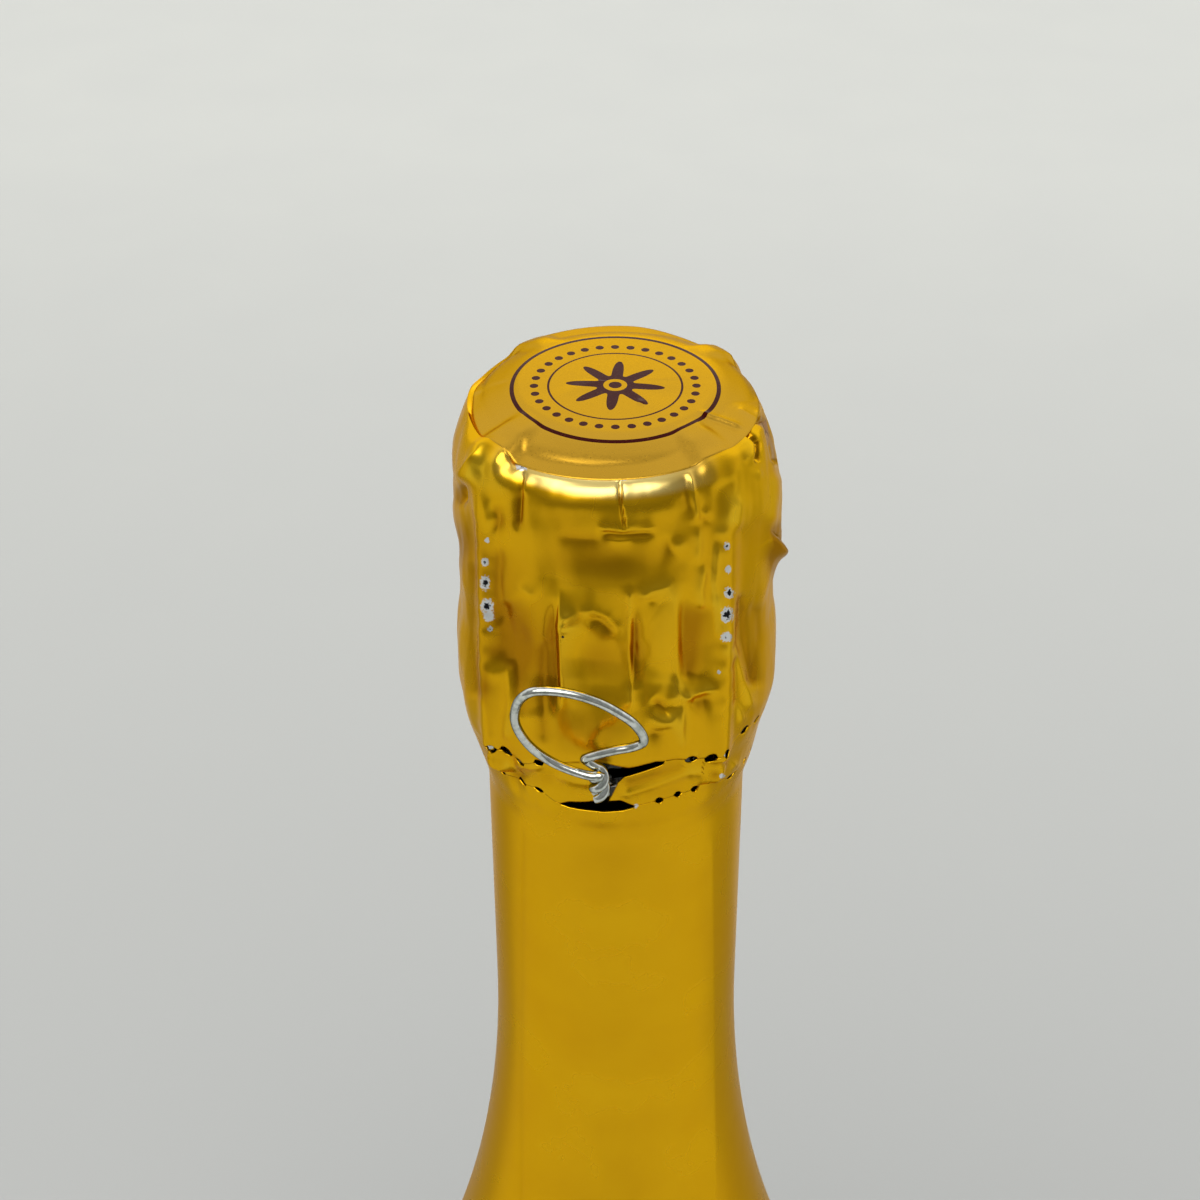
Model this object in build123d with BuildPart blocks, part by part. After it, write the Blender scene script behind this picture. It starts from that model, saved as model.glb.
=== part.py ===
from build123d import *
import math
import os

# Champagne bottle, millimetres.
# The origin is the centre of the ring that it stands on, +Z is up and the wire pull loop faces -Y.
# Angles round the neck are counted from -Y towards +X.

os.makedirs("parts", exist_ok=True)

# glass
glass_height = 300.0
body_radius = 44.5
neck_radius = 13.9
wall = 5.0
shoulder_round = 58.0
neck_flare = 170.0
neck_straight = 56.5
heel_round = 9.0
bearing_width = 4.0
base_thickness = 9.0
inner_heel_round = 8.0
punt_height = 31.0
punt_crown_share = 0.45
punt_side_share = 0.92
punt_rise_share = 0.32
inner_crown_share = 0.62

# glass finish at the mouth
bore_radius = 8.75
bore_length = 34.0
bore_lead = 0.6
bead_proud = 0.4
bead_height = 6.2
bead_round = 2.2
waist_depth = 1.0
collar_proud = 1.5
collar_drop = 15.0
collar_height = 5.8
collar_slope = 2.4
collar_chamfer = 0.7

# wine
wine_headspace = 64.0
wine_gap = 0.1

# cork
cork_length = 46.5
cork_head_height = 20.5
cork_head_radius = 15.3
cork_head_round = 4.5
cork_seat_gap = 0.2
cork_seat_radius = 11.6
cork_barrel_share = 0.45
cork_fit = 0.05
cork_disc_thickness = 5.5
cork_edge_chamfer = 0.8
cork_groove_radius = 1.2

# wire cage
wire_diameter = 0.95
wire_sides = 5
wire_gap = 0.05
leg_angle = 45.0
leg_count = 4
leg_twists = 5.25
steps_per_turn = 6
strand_offset = 0.56
leg_rim_gap = 0.7
leg_collar_gap = 0.05
eye_clearance = 0.1
eye_radial = 1.55
ring_radius = 10.6
ring_joint_angle = 1.0
plaque_thickness = 0.25
plaque_radius = 13.0
plaque_crown_radius = 8.8
plaque_crown_height = 0.95
plaque_crown_slope = 0.7
plaque_rim_width = 1.0
plaque_rim_drop = 0.35
tail_offset = 0.46
tail_length = 4.4
tail_half_turns = 3
stem_length = 1.1
bend_half_gap = 0.4
loop_lean = 72.0
loop_width = 13.2
loop_height = 14.3
tail_sides = 6
tail_steps_per_half_turn = 5
loop_sides = 6
joint_gap = 0.03
belt_front_angle = 8.0
belt_step_angle = 7.5
belt_turn_share = 0.6

# foil
foil_thickness = 0.2
foil_gap = 0.12
foil_crown_radius = 11.4
foil_crown_drop = 0.25
foil_disc_radius = 14.0
foil_disc_drop = 1.05
foil_neck_gap = 0.12
foil_length = 106.0
foil_edge_slack = 1.1
foil_collar_slack = 1.6
foil_cork_slack = 1.1
foil_shoulder_angles = (28, 48, 62)
foil_ridge_clearance = 0.18
foil_mouth_slack = 1.2
foil_sleeve_gather = 3.1
foil_ridge_angle = 8.0
tear_gap = 0.3
tear_height = 4.8
tear_top_rise = 0.7
slot_stem_width = 3.2
slot_bar_width = 7.0
slot_bar_height = 1.0
slot_top_shift = 2.4
slot_bottom_shift = -0.6
cut_overrun = 5.0


# Places that follow from the sizes above
wire_radius = wire_diameter / 2
bearing_inner = body_radius - heel_round - bearing_width
collar_radius = neck_radius + collar_proud
bead_radius = neck_radius + bead_proud
bead_waist = neck_radius - waist_depth
collar_bottom = glass_height - collar_drop
collar_top = collar_bottom + collar_height
flare_start = glass_height - neck_straight
flare_angle = math.degrees(math.acos(1 - (body_radius - neck_radius) / (shoulder_round + neck_flare)))
shoulder_start = flare_start - (shoulder_round + neck_flare) * math.sin(math.radians(flare_angle))
wine_level = glass_height - wine_headspace
cork_top = glass_height + cork_head_height
cork_end = cork_top - cork_length
cork_radius = bore_radius - cork_fit
ring_height = cork_top + plaque_thickness + wire_gap + wire_radius
foil_top = ring_height + wire_radius + foil_gap + foil_thickness + foil_crown_drop
belt_height = collar_bottom - wire_diameter - wire_radius - 2 * eye_clearance
belt_near = neck_radius + wire_radius + eye_clearance
belt_far = neck_radius + eye_radial
stem_start = collar_radius + eye_clearance
foil_bottom = glass_height - foil_length
foil_sleeve_mouth = neck_radius + foil_mouth_slack
leg_side_radius = cork_head_radius + leg_rim_gap
leg_foot_radius = collar_radius + strand_offset + wire_radius + leg_collar_gap
leg_rim_round = cork_head_round + leg_rim_gap
leg_rim_angles = (60, 38, 18)
eye_round = wire_diameter + eye_clearance
eye_angles = (30, -5, -40, -75, -110, -145, -180, -215, -250, -280)
ring_turn_shares = (0, 0.2, 0.4, 0.6, 0.78)
loop_shares = (
    (-0.034, -0.03),
    (-0.06, 0.02),
    (-0.38, 0.08),
    (-0.59, 0.42),
    (-0.62, 0.90),
    (-0.27, 0.98),
    (0.17, 0.78),
    (0.40, 0.43),
    (0.28, 0.32),
    (0.034, 0.22),
    (0.034, -0.03),
)
loop_round_shares = (0.05, 0.22, 0.3, 0.22, 0.24, 0.5, 0.1, 0.12, 0.08)
pivot_out = stem_start + stem_length + bend_half_gap


def around(radius, angle, height):
    """The point at a radius, an angle from -Y and a height."""
    turn = math.radians(angle)
    return Vector(radius * math.sin(turn), -radius * math.cos(turn), height)


def transported_planes(points, first_side):
    """Planes square to a run of points, each turned as little as the wire's bends allow."""
    planes = []
    side = first_side
    for index, point in enumerate(points):
        before = points[max(index - 1, 0)]
        after = points[min(index + 1, len(points) - 1)]
        along = (after - before).normalized()
        side = (side - along * side.dot(along)).normalized()
        planes.append(Plane(origin=point, x_dir=side, z_dir=along))
    return planes


# Glass: a revolved wall with a punted base, a cork bore, a crown bead and the collar that the wire grips
inner_flare = neck_flare + wall
inner_shoulder = shoulder_round - wall
inner_foot = body_radius - wall - inner_heel_round
with BuildPart() as glass_bottle:
    with BuildSketch(Plane.XZ):
        with BuildLine():
            heel = CenterArc((body_radius - heel_round, heel_round), heel_round, -90, 90)
            Line((bearing_inner, 0), heel @ 0)
            Line(heel @ 1, (body_radius, shoulder_start))
            CenterArc((body_radius - shoulder_round, shoulder_start), shoulder_round, 0, flare_angle)
            CenterArc((neck_radius + neck_flare, flare_start), neck_flare, 180, flare_angle)
            bead_bottom = glass_height - bead_height
            Polyline(
                (neck_radius, flare_start),
                (neck_radius, collar_bottom),
                (collar_radius - collar_chamfer, collar_bottom),
                (collar_radius, collar_bottom + collar_chamfer),
                (collar_radius, collar_top),
                (bead_waist, collar_top + collar_slope),
                (bead_waist, bead_bottom),
                (bead_radius, bead_bottom + bead_radius - bead_waist),
                (bead_radius, glass_height - bead_round),
            )
            lip = CenterArc((bead_radius - bead_round, glass_height - bead_round), bead_round, 0, 90)
            Line(lip @ 1, (bore_radius + bore_lead, glass_height))
            Polyline(
                (bore_radius + bore_lead, glass_height),
                (bore_radius, glass_height - bore_lead),
                (bore_radius, glass_height - bore_length),
                (neck_radius - wall, glass_height - bore_length - neck_radius + wall + bore_radius),
                (neck_radius - wall, flare_start),
            )
            CenterArc((neck_radius + neck_flare, flare_start), inner_flare, 180, flare_angle)
            CenterArc((body_radius - shoulder_round, shoulder_start), inner_shoulder, 0, flare_angle)
            inside_foot = CenterArc(
                (inner_foot, base_thickness + inner_heel_round),
                inner_heel_round,
                -90,
                90,
            )
            Line((body_radius - wall, shoulder_start), inside_foot @ 1)
            inner_tip = Vector(0, punt_height + base_thickness)
            Bezier(
                inside_foot @ 0,
                (punt_side_share * bearing_inner, base_thickness),
                (inner_crown_share * inner_foot, inner_tip.Y),
                inner_tip,
            )
            Line(inner_tip, (0, punt_height))
            Bezier(
                (0, punt_height),
                (punt_crown_share * bearing_inner, punt_height),
                (punt_side_share * bearing_inner, punt_rise_share * punt_height),
                (bearing_inner, 0),
            )
        make_face()
    revolve(axis=Axis.Z)
    glass_bottle.part.label = "glass_bottle"
export_step(glass_bottle.part, "parts/glass_bottle.step")


# Wine: fills the inside up to the level in the neck
with BuildPart() as wine:
    with BuildSketch(Plane.XZ):
        with BuildLine():
            wet_radius = neck_radius - wall - wine_gap
            wet_foot = CenterArc(
                (inner_foot, base_thickness + inner_heel_round),
                inner_heel_round - wine_gap,
                -90,
                90,
            )
            Line(wet_foot @ 1, (body_radius - wall - wine_gap, shoulder_start))
            CenterArc(
                (body_radius - shoulder_round, shoulder_start),
                inner_shoulder - wine_gap,
                0,
                flare_angle,
            )
            CenterArc((neck_radius + neck_flare, flare_start), inner_flare + wine_gap, 180, flare_angle)
            wet_tip = Vector(0, inner_tip.Y + wine_gap)
            Polyline((wet_radius, flare_start), (wet_radius, wine_level), (0, wine_level), wet_tip)
            Bezier(
                wet_foot @ 0,
                (punt_side_share * bearing_inner, base_thickness + wine_gap),
                (inner_crown_share * inner_foot, wet_tip.Y),
                wet_tip,
            )
        make_face()
    revolve(axis=Axis.Z)
    wine.part.label = "wine"
export_step(wine.part, "parts/wine.step")


# Cork: an agglomerated body with a mushroom head, and two discs of natural cork at the wine end
head_arc_centre = (cork_head_radius - cork_head_round, cork_top - cork_head_round)
body_bottom = cork_end + 2 * cork_disc_thickness
with BuildPart() as cork_body:
    with BuildSketch(Plane.XZ):
        with BuildLine():
            Polyline(
                (0, cork_top),
                (0, body_bottom),
                (cork_radius, body_bottom),
                (cork_radius, glass_height - bore_lead + cork_fit),
                (cork_radius + bore_lead + cork_seat_gap - cork_fit, glass_height + cork_seat_gap),
                (cork_seat_radius, glass_height + cork_seat_gap),
            )
            Bezier(
                (cork_seat_radius, glass_height + cork_seat_gap),
                (cork_head_radius, glass_height + cork_seat_gap),
                (cork_head_radius, glass_height + cork_seat_gap),
                (cork_head_radius, glass_height + cork_barrel_share * cork_head_height),
            )
            Line(
                (cork_head_radius, glass_height + cork_barrel_share * cork_head_height),
                (cork_head_radius, head_arc_centre[1]),
            )
            CenterArc(head_arc_centre, cork_head_round, 0, 90)
            Line((head_arc_centre[0], cork_top), (0, cork_top))
        make_face()
    revolve(axis=Axis.Z)
    with BuildSketch(Plane.XY.offset(glass_height)):
        with PolarLocations(leg_side_radius, leg_count, start_angle=leg_angle):
            Circle(cork_groove_radius)
    extrude(amount=cork_head_height, mode=Mode.SUBTRACT)
    cork_body.part.label = "cork_body"
export_step(cork_body.part, "parts/cork_body.step")

with BuildPart() as cork_disc_upper:
    with BuildSketch(Plane.XY.offset(cork_end + cork_disc_thickness)):
        Circle(cork_radius)
    extrude(amount=cork_disc_thickness)
    cork_disc_upper.part.label = "cork_disc_upper"
export_step(cork_disc_upper.part, "parts/cork_disc_upper.step")

with BuildPart() as cork_disc_lower:
    with BuildSketch(Plane.XY.offset(cork_end)):
        Circle(cork_radius)
    extrude(amount=cork_disc_thickness)
    chamfer(cork_disc_lower.faces().sort_by(Axis.Z)[0].edges(), cork_edge_chamfer)
    cork_disc_lower.part.label = "cork_disc_lower"
export_step(cork_disc_lower.part, "parts/cork_disc_lower.step")


# Plaque: the tinplate cap on the cork, with a raised crown that the wire ring lies round
flange_top = cork_top + plaque_thickness
crown_top = flange_top + plaque_crown_height
with BuildPart() as cage_plaque:
    with BuildSketch(Plane.XZ):
        with BuildLine():
            Polyline(
                (0, crown_top),
                (plaque_crown_radius, crown_top),
                (plaque_crown_radius + plaque_crown_slope, flange_top),
                (plaque_radius - plaque_rim_width, flange_top),
                (plaque_radius, flange_top - plaque_rim_drop),
                (plaque_radius - plaque_thickness, flange_top - plaque_rim_drop - plaque_thickness),
                (plaque_radius - plaque_rim_width - plaque_thickness, cork_top),
                (plaque_crown_radius + plaque_crown_slope - plaque_thickness, cork_top),
                (plaque_crown_radius - plaque_thickness, crown_top - plaque_thickness),
                (0, crown_top - plaque_thickness),
                close=True,
            )
        make_face()
    revolve(axis=Axis.Z)
    cage_plaque.part.label = "cage_plaque"
export_step(cage_plaque.part, "parts/cage_plaque.step")


# Wire frame of the cage: each quarter of the ring turns down into a leg of two twisted strands, rounds
# the eye that the belt passes through at its foot, and comes back up to the next quarter
def leg_point(radius, side, height):
    """A point beside the first leg: out from the axis, along the ring and up."""
    out = around(1, leg_angle, 0)
    along = around(1, leg_angle + 90, 0)
    return out * radius + along * side + Vector(0, 0, height)


def down_strand():
    """Points of one strand, from the middle of a ring side down to the eye."""
    points = [around(ring_radius, leg_angle * share, ring_height) for share in ring_turn_shares]
    points.append(leg_point(ring_radius + wire_radius, -strand_offset - wire_radius, ring_height))
    points.append(leg_point(ring_radius + 2 * wire_diameter, -strand_offset, ring_height))
    for angle in leg_rim_angles:
        radius = head_arc_centre[0] + leg_rim_round * math.cos(math.radians(angle))
        height = head_arc_centre[1] + leg_rim_round * math.sin(math.radians(angle))
        points.append(leg_point(radius, -strand_offset, height))
    steps = round(leg_twists * steps_per_turn)
    for step in range(steps + 1):
        share = step / steps
        turn = math.radians(360 * leg_twists * share - 90)
        radius = leg_side_radius + (leg_foot_radius - leg_side_radius) * share
        height = head_arc_centre[1] + (collar_top - head_arc_centre[1]) * share
        out = strand_offset * math.cos(turn)
        points.append(leg_point(radius + out, strand_offset * math.sin(turn), height))
    return points


def mirrored_strand(points):
    """The other strand of the leg: the first one turned half a turn about the leg's own line."""
    out = around(1, leg_angle, 0)
    along = around(1, leg_angle + 90, 0)
    twist_start = len(points) - round(leg_twists * steps_per_turn) - 1
    mirrored = []
    for index, point in enumerate(points):
        side = along * point.dot(along)
        moved = point - side * 2
        if index >= twist_start:
            share = (index - twist_start) / (len(points) - 1 - twist_start)
            centre = leg_side_radius + (leg_foot_radius - leg_side_radius) * share
            moved = moved - out * 2 * (moved.dot(out) - centre)
        mirrored.append(moved)
    return mirrored


def eye_points():
    """Points from the foot of the outer strand round the belt and back to the inner strand."""
    points = [leg_point(leg_foot_radius + strand_offset, 0, collar_bottom + collar_chamfer)]
    for angle in eye_angles:
        out = belt_far + eye_round * math.cos(math.radians(angle))
        up = belt_height + eye_round * math.sin(math.radians(angle))
        points.append(leg_point(out, 0, up))
    points.append(leg_point(leg_foot_radius - strand_offset, 0, collar_bottom + collar_chamfer))
    return points


down = down_strand()
up = list(reversed(mirrored_strand(down)))
quarter_points = down + eye_points() + up
frame_points = []
for leg in range(leg_count):
    for point in quarter_points[1:]:
        frame_points.append(point.rotate(Axis.Z, leg * 360 / leg_count))
frame_points.pop()
frame_points.append(around(ring_radius, -ring_joint_angle, ring_height))
frame_points.insert(0, around(ring_radius, 0, ring_height))
with BuildPart() as cage_frame:
    for plane in transported_planes(frame_points, Vector(0, 0, 1)):
        with BuildSketch(plane):
            RegularPolygon(wire_radius, wire_sides)
    loft(ruled=True, clean=False)
    cage_frame.part.label = "cage_frame"
export_step(cage_frame.part, "parts/cage_frame.step")


# Belt of the cage: an open ring of wire under the collar that passes through the four eyes, with both
# ends turned out at the front where they twist together
def belt_point(angle):
    """A point of the belt, close to the glass between the legs and further out in the eyes."""
    swell = (1 - math.cos(math.radians(leg_count * angle))) / 2
    return around(belt_near + (belt_far - belt_near) * swell, angle, belt_height)


belt_end = [
    Vector(tail_offset, -stem_start + joint_gap, belt_height),
    Vector(tail_offset, -stem_start + wire_radius, belt_height),
    Vector(wire_diameter, -belt_near - wire_radius * belt_turn_share, belt_height),
]
belt_steps = round((360 - 2 * belt_front_angle) / belt_step_angle)
belt_points = list(belt_end)
for step in range(belt_steps + 1):
    belt_points.append(belt_point(belt_front_angle + (360 - 2 * belt_front_angle) * step / belt_steps))
for point in reversed(belt_end):
    belt_points.append(Vector(-point.X, point.Y, point.Z))
with BuildPart() as cage_belt:
    for plane in transported_planes(belt_points, Vector(0, 0, 1)):
        with BuildSketch(plane):
            RegularPolygon(wire_radius, wire_sides)
    loft(ruled=True, clean=False)
    cage_belt.part.label = "cage_belt"
export_step(cage_belt.part, "parts/cage_belt.step")


# Twisted tail of the belt: a short straight stem, and beyond its bend the twisted tail with the pull loop
lean = math.radians(loop_lean)
pivot = Vector(0, -pivot_out, belt_height)
tail_direction = Vector(0, -math.cos(lean), math.sin(lean))
with BuildPart() as twist_stem:
    with BuildSketch(Plane(origin=(0, -stem_start, belt_height), x_dir=(1, 0, 0), z_dir=(0, -1, 0))):
        with Locations((tail_offset, 0), (-tail_offset, 0)):
            RegularPolygon(wire_radius, tail_sides)
    extrude(amount=stem_length)
    twist_stem.part.label = "twist_stem"
export_step(twist_stem.part, "parts/twist_stem.step")

tail_start = pivot + tail_direction * bend_half_gap
tail_steps = tail_half_turns * tail_steps_per_half_turn
with BuildPart() as pull_loop:
    for step in range(tail_steps + 1):
        turn = math.pi * step / tail_steps_per_half_turn
        across = Vector(1, 0, 0) * math.cos(turn) + tail_direction.cross(Vector(1, 0, 0)) * math.sin(turn)
        centre = tail_start + tail_direction * tail_length * (step / tail_steps)
        with BuildSketch(Plane(origin=centre, x_dir=across, z_dir=tail_direction)):
            with Locations((tail_offset, 0), (-tail_offset, 0)):
                RegularPolygon(wire_radius, tail_sides)
    loft(ruled=True, clean=False)
    tail_end = tail_start + tail_direction * tail_length
    loop_plane = Plane(origin=tail_end, x_dir=(1, 0, 0), z_dir=Vector(1, 0, 0).cross(tail_direction))
    with BuildLine(loop_plane) as loop_path:
        corners = [(loop_width * u, loop_height * v) for u, v in loop_shares]
        radii = [loop_width * share for share in loop_round_shares]
        FilletPolyline(*corners, radius=radii)
    with BuildSketch(Plane(origin=loop_path.line @ 0, z_dir=loop_path.line % 0)):
        RegularPolygon(wire_radius, loop_sides)
    sweep(path=loop_path.line)
    pull_loop.part.label = "pull_loop"
export_step(pull_loop.part, "parts/pull_loop.step")


# Foil: thin walls with a ridge over each leg of the cage
def ridged_face(radius, ridge, height):
    """A circle with four low ridges over the legs, as a face of arcs at a height."""
    with BuildSketch(Plane.XY.offset(height)) as section:
        with BuildLine():
            for leg in range(leg_count):
                middle = leg_angle + leg * 360 / leg_count
                flank = (leg_angle + foil_ridge_angle) / 2
                before = around(radius, middle - leg_angle, 0)
                left = around(radius, middle - foil_ridge_angle, 0)
                right = around(radius, middle + foil_ridge_angle, 0)
                following = around(radius, middle + leg_angle, 0)
                ThreePointArc(before, around(radius, middle - flank, 0), left)
                ThreePointArc(left, around(radius + ridge, middle, 0), right)
                ThreePointArc(right, around(radius, middle + flank, 0), following)
        make_face()
    return section.sketch.face()


def foil_faces(levels, skin):
    """Faces of a ridged foil wall at its levels, drawn in by a skin measured square to the wall."""
    faces = []
    for index, (height, radius, ridge) in enumerate(levels):
        lower = levels[max(index - 1, 0)]
        upper = levels[min(index + 1, len(levels) - 1)]
        slope = math.hypot(upper[0] - lower[0], upper[1] - lower[1]) / (upper[0] - lower[0])
        faces.append(ridged_face(radius - skin * slope, ridge, height))
    return faces


tear_top = collar_bottom + tear_top_rise
tear_bottom = tear_top - tear_height
cap_bottom = tear_top + tear_gap
cap_edge_radius = collar_radius + foil_edge_slack
cap_cork_radius = cork_head_radius + foil_cork_slack
shoulder_cover = cork_head_round + foil_cork_slack


def ridge_crest(height):
    """How far out the foil stands over a leg of the cage at a height."""
    cover = wire_radius + foil_ridge_clearance + foil_thickness
    if height > head_arc_centre[1]:
        rise = height - head_arc_centre[1]
        return head_arc_centre[0] + math.sqrt((leg_rim_round + cover) ** 2 - rise**2)
    if height > collar_bottom:
        share = (head_arc_centre[1] - height) / (head_arc_centre[1] - collar_top)
        leg_radius = leg_side_radius + (leg_foot_radius - leg_side_radius) * min(share, 1)
        return leg_radius + strand_offset + cover
    below = max(belt_height - height, 0)
    return belt_far + math.sqrt(max((eye_round + cover) ** 2 - below**2, 0))


def with_ridges(levels):
    """Heights and radii, each with the height of its ridges over the legs."""
    return [(height, radius, max(ridge_crest(height) - radius, wire_gap)) for height, radius in levels]


cap_outline = [
    (cap_bottom, cap_edge_radius),
    (collar_top, collar_radius + foil_collar_slack),
    (bead_bottom + bead_round, (collar_radius + foil_collar_slack + cap_cork_radius) / 2),
    (glass_height + cork_head_round, cap_cork_radius),
    (cork_top - 2 * cork_head_round, cap_cork_radius),
    (head_arc_centre[1], cap_cork_radius),
]
for angle in foil_shoulder_angles:
    shoulder_radius = head_arc_centre[0] + shoulder_cover * math.cos(math.radians(angle))
    shoulder_height = head_arc_centre[1] + shoulder_cover * math.sin(math.radians(angle))
    cap_outline.append((shoulder_height, shoulder_radius))
cap_levels = with_ridges(cap_outline)
with BuildPart() as foil_cap:
    loft(foil_faces(cap_levels, 0), ruled=True)
    loft(foil_faces(cap_levels, foil_thickness), ruled=True, mode=Mode.SUBTRACT)
    foil_cap.part.label = "foil_cap"
export_step(foil_cap.part, "parts/foil_cap.step")

band_outline = [
    (tear_bottom, foil_sleeve_mouth + foil_thickness),
    (belt_height - eye_round, foil_sleeve_mouth + 2 * foil_thickness),
    (belt_height, cap_edge_radius - 2 * foil_thickness),
    (tear_top, cap_edge_radius - wire_gap),
]
band_levels = with_ridges(band_outline)
with BuildPart() as foil_tear_band:
    loft(foil_faces(band_levels, 0), ruled=True)
    loft(foil_faces(band_levels, foil_thickness), ruled=True, mode=Mode.SUBTRACT)
    with BuildSketch(Plane.XY.offset(tear_bottom + slot_bar_height / 2)):
        with Locations((0, -cap_edge_radius)):
            Rectangle(slot_stem_width, 2 * cut_overrun)
    extrude(amount=tear_height, mode=Mode.SUBTRACT)
    with BuildSketch(Plane.XY.offset(tear_top - slot_bar_height)):
        with Locations((slot_top_shift, -cap_edge_radius)):
            Rectangle(slot_bar_width, 2 * cut_overrun)
    extrude(amount=tear_height, mode=Mode.SUBTRACT)
    with BuildSketch(Plane.XY.offset(tear_bottom + slot_bar_height)):
        with Locations((slot_bottom_shift, -cap_edge_radius)):
            Rectangle(slot_bar_width, 2 * cut_overrun)
    extrude(amount=-tear_height, mode=Mode.SUBTRACT)
    foil_tear_band.part.label = "foil_tear_band"
export_step(foil_tear_band.part, "parts/foil_tear_band.step")

with BuildPart() as foil_top_disc:
    with BuildSketch(Plane.XZ):
        with BuildLine():
            for level in (foil_top, foil_top - foil_thickness):
                crown = ThreePointArc(
                    (0, level),
                    (foil_crown_radius / 2, level - foil_crown_drop / 4),
                    (foil_crown_radius, level - foil_crown_drop),
                )
                TangentArc(crown @ 1, (foil_disc_radius, level - foil_disc_drop), tangent=crown % 1)
            Line((0, foil_top), (0, foil_top - foil_thickness))
            rim_height = foil_top - foil_disc_drop
            Line((foil_disc_radius, rim_height), (foil_disc_radius, rim_height - foil_thickness))
        make_face()
    revolve(axis=Axis.Z)
    foil_top_disc.part.label = "foil_top_disc"
export_step(foil_top_disc.part, "parts/foil_top_disc.step")

sleeve_top = tear_bottom - tear_gap
sleeve_radius = neck_radius + foil_neck_gap
flare_turn = math.degrees(math.asin((flare_start - foil_bottom) / neck_flare))
with BuildPart() as foil_neck_sleeve:
    with BuildSketch(Plane.XZ):
        with BuildLine():
            gather = Spline(
                (foil_sleeve_mouth, sleeve_top),
                (sleeve_radius, sleeve_top - foil_sleeve_gather),
                tangents=[(-1, -1), (0, -1)],
            )
            Line(gather @ 1, (sleeve_radius, flare_start))
            inside = CenterArc(
                (neck_radius + neck_flare, flare_start),
                neck_flare - foil_neck_gap,
                180,
                flare_turn,
            )
            outside = CenterArc(
                (neck_radius + neck_flare, flare_start),
                neck_flare - foil_neck_gap - foil_thickness,
                180,
                flare_turn,
            )
            Line(inside @ 1, outside @ 1)
            cover = Spline(
                (foil_sleeve_mouth + foil_thickness, sleeve_top),
                (sleeve_radius + foil_thickness, sleeve_top - foil_sleeve_gather),
                tangents=[(-1, -1), (0, -1)],
            )
            Line(cover @ 1, (sleeve_radius + foil_thickness, flare_start))
            Line(gather @ 0, cover @ 0)
        make_face()
    revolve(axis=Axis.Z)
    foil_neck_sleeve.part.label = "foil_neck_sleeve"
export_step(foil_neck_sleeve.part, "parts/foil_neck_sleeve.step")
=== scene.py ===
"""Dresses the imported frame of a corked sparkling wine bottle: its foil, wire, cork, glass and a studio.

Lengths in this file are millimetres, and mesh data is written in metres. Heights called below are
counted from the middle of the foil's top, negative downwards. Angles round the bottle are counted in
degrees from -Y towards +X.
"""

from __future__ import annotations

import logging
import math
from collections.abc import Callable
from dataclasses import dataclass
from enum import Enum
from functools import partial

import bpy
import numpy as np
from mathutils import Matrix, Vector

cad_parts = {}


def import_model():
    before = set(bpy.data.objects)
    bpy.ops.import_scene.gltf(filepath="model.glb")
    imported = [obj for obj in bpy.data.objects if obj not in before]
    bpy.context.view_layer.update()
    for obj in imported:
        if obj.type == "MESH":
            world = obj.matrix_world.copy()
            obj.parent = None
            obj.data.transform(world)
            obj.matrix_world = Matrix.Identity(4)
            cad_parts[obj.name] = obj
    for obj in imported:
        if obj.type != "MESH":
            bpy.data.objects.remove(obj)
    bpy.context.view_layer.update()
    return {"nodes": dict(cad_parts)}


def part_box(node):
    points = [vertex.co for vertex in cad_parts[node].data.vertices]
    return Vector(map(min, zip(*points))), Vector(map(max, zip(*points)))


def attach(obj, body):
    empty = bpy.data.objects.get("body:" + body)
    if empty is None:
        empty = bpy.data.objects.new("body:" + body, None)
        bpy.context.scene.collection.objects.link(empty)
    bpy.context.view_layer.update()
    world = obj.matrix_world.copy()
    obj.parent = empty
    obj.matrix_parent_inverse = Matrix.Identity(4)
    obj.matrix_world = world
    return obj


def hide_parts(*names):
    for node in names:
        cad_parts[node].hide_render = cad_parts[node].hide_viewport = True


LOG = logging.getLogger("bottle")
METRES = 0.001
FULL_TURN = 360.0


def linear(colour: str) -> tuple[float, float, float, float]:
    """Turns an sRGB hex colour into linear values.

    Args:
        colour: six hex digits after a hash sign.

    Returns:
        Red, green, blue and an alpha of one.
    """
    parts = [int(colour[place : place + 2], 16) / 255 for place in (1, 3, 5)]
    bent = [part / 12.92 if part <= 0.04045 else ((part + 0.055) / 1.055) ** 2.4 for part in parts]
    return (bent[0], bent[1], bent[2], 1.0)


def add_node(tree: bpy.types.NodeTree, kind: str, inputs: dict | tuple = (), **settings) -> bpy.types.Node:
    """Adds a node with its settings, its values and its links.

    Args:
        tree: the node tree that gets the node.
        kind: the node's Blender type.
        inputs: values in the order of the sockets, or by socket name or number. A socket is linked, a
            node is linked by the first output that it has in use, and a text is a hex colour.
        settings: properties of the node itself.

    Returns:
        The new node.
    """
    node = tree.nodes.new(kind)
    for name, value in settings.items():
        setattr(node, name, value)
    for key, value in inputs.items() if isinstance(inputs, dict) else enumerate(inputs):
        if isinstance(value, bpy.types.Node):
            value = next(output for output in value.outputs if output.enabled)
        if isinstance(value, bpy.types.NodeSocket):
            tree.links.new(value, node.inputs[key])
        else:
            node.inputs[key].default_value = linear(value) if isinstance(value, str) else value
    return node


def smooth_step(low: float, high: float, value: np.ndarray) -> np.ndarray:
    """Rises from 0 at low to 1 at high, with level ends."""
    share = np.clip((value - low) / (high - low), 0.0, 1.0)
    return share * share * (3.0 - 2.0 * share)


def between(rise: tuple, fall: tuple, value: np.ndarray) -> np.ndarray:
    """Is 1 past a rise and before a fall, and 0 outside them."""
    return smooth_step(*rise, value) * (1 - smooth_step(*fall, value))


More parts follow.
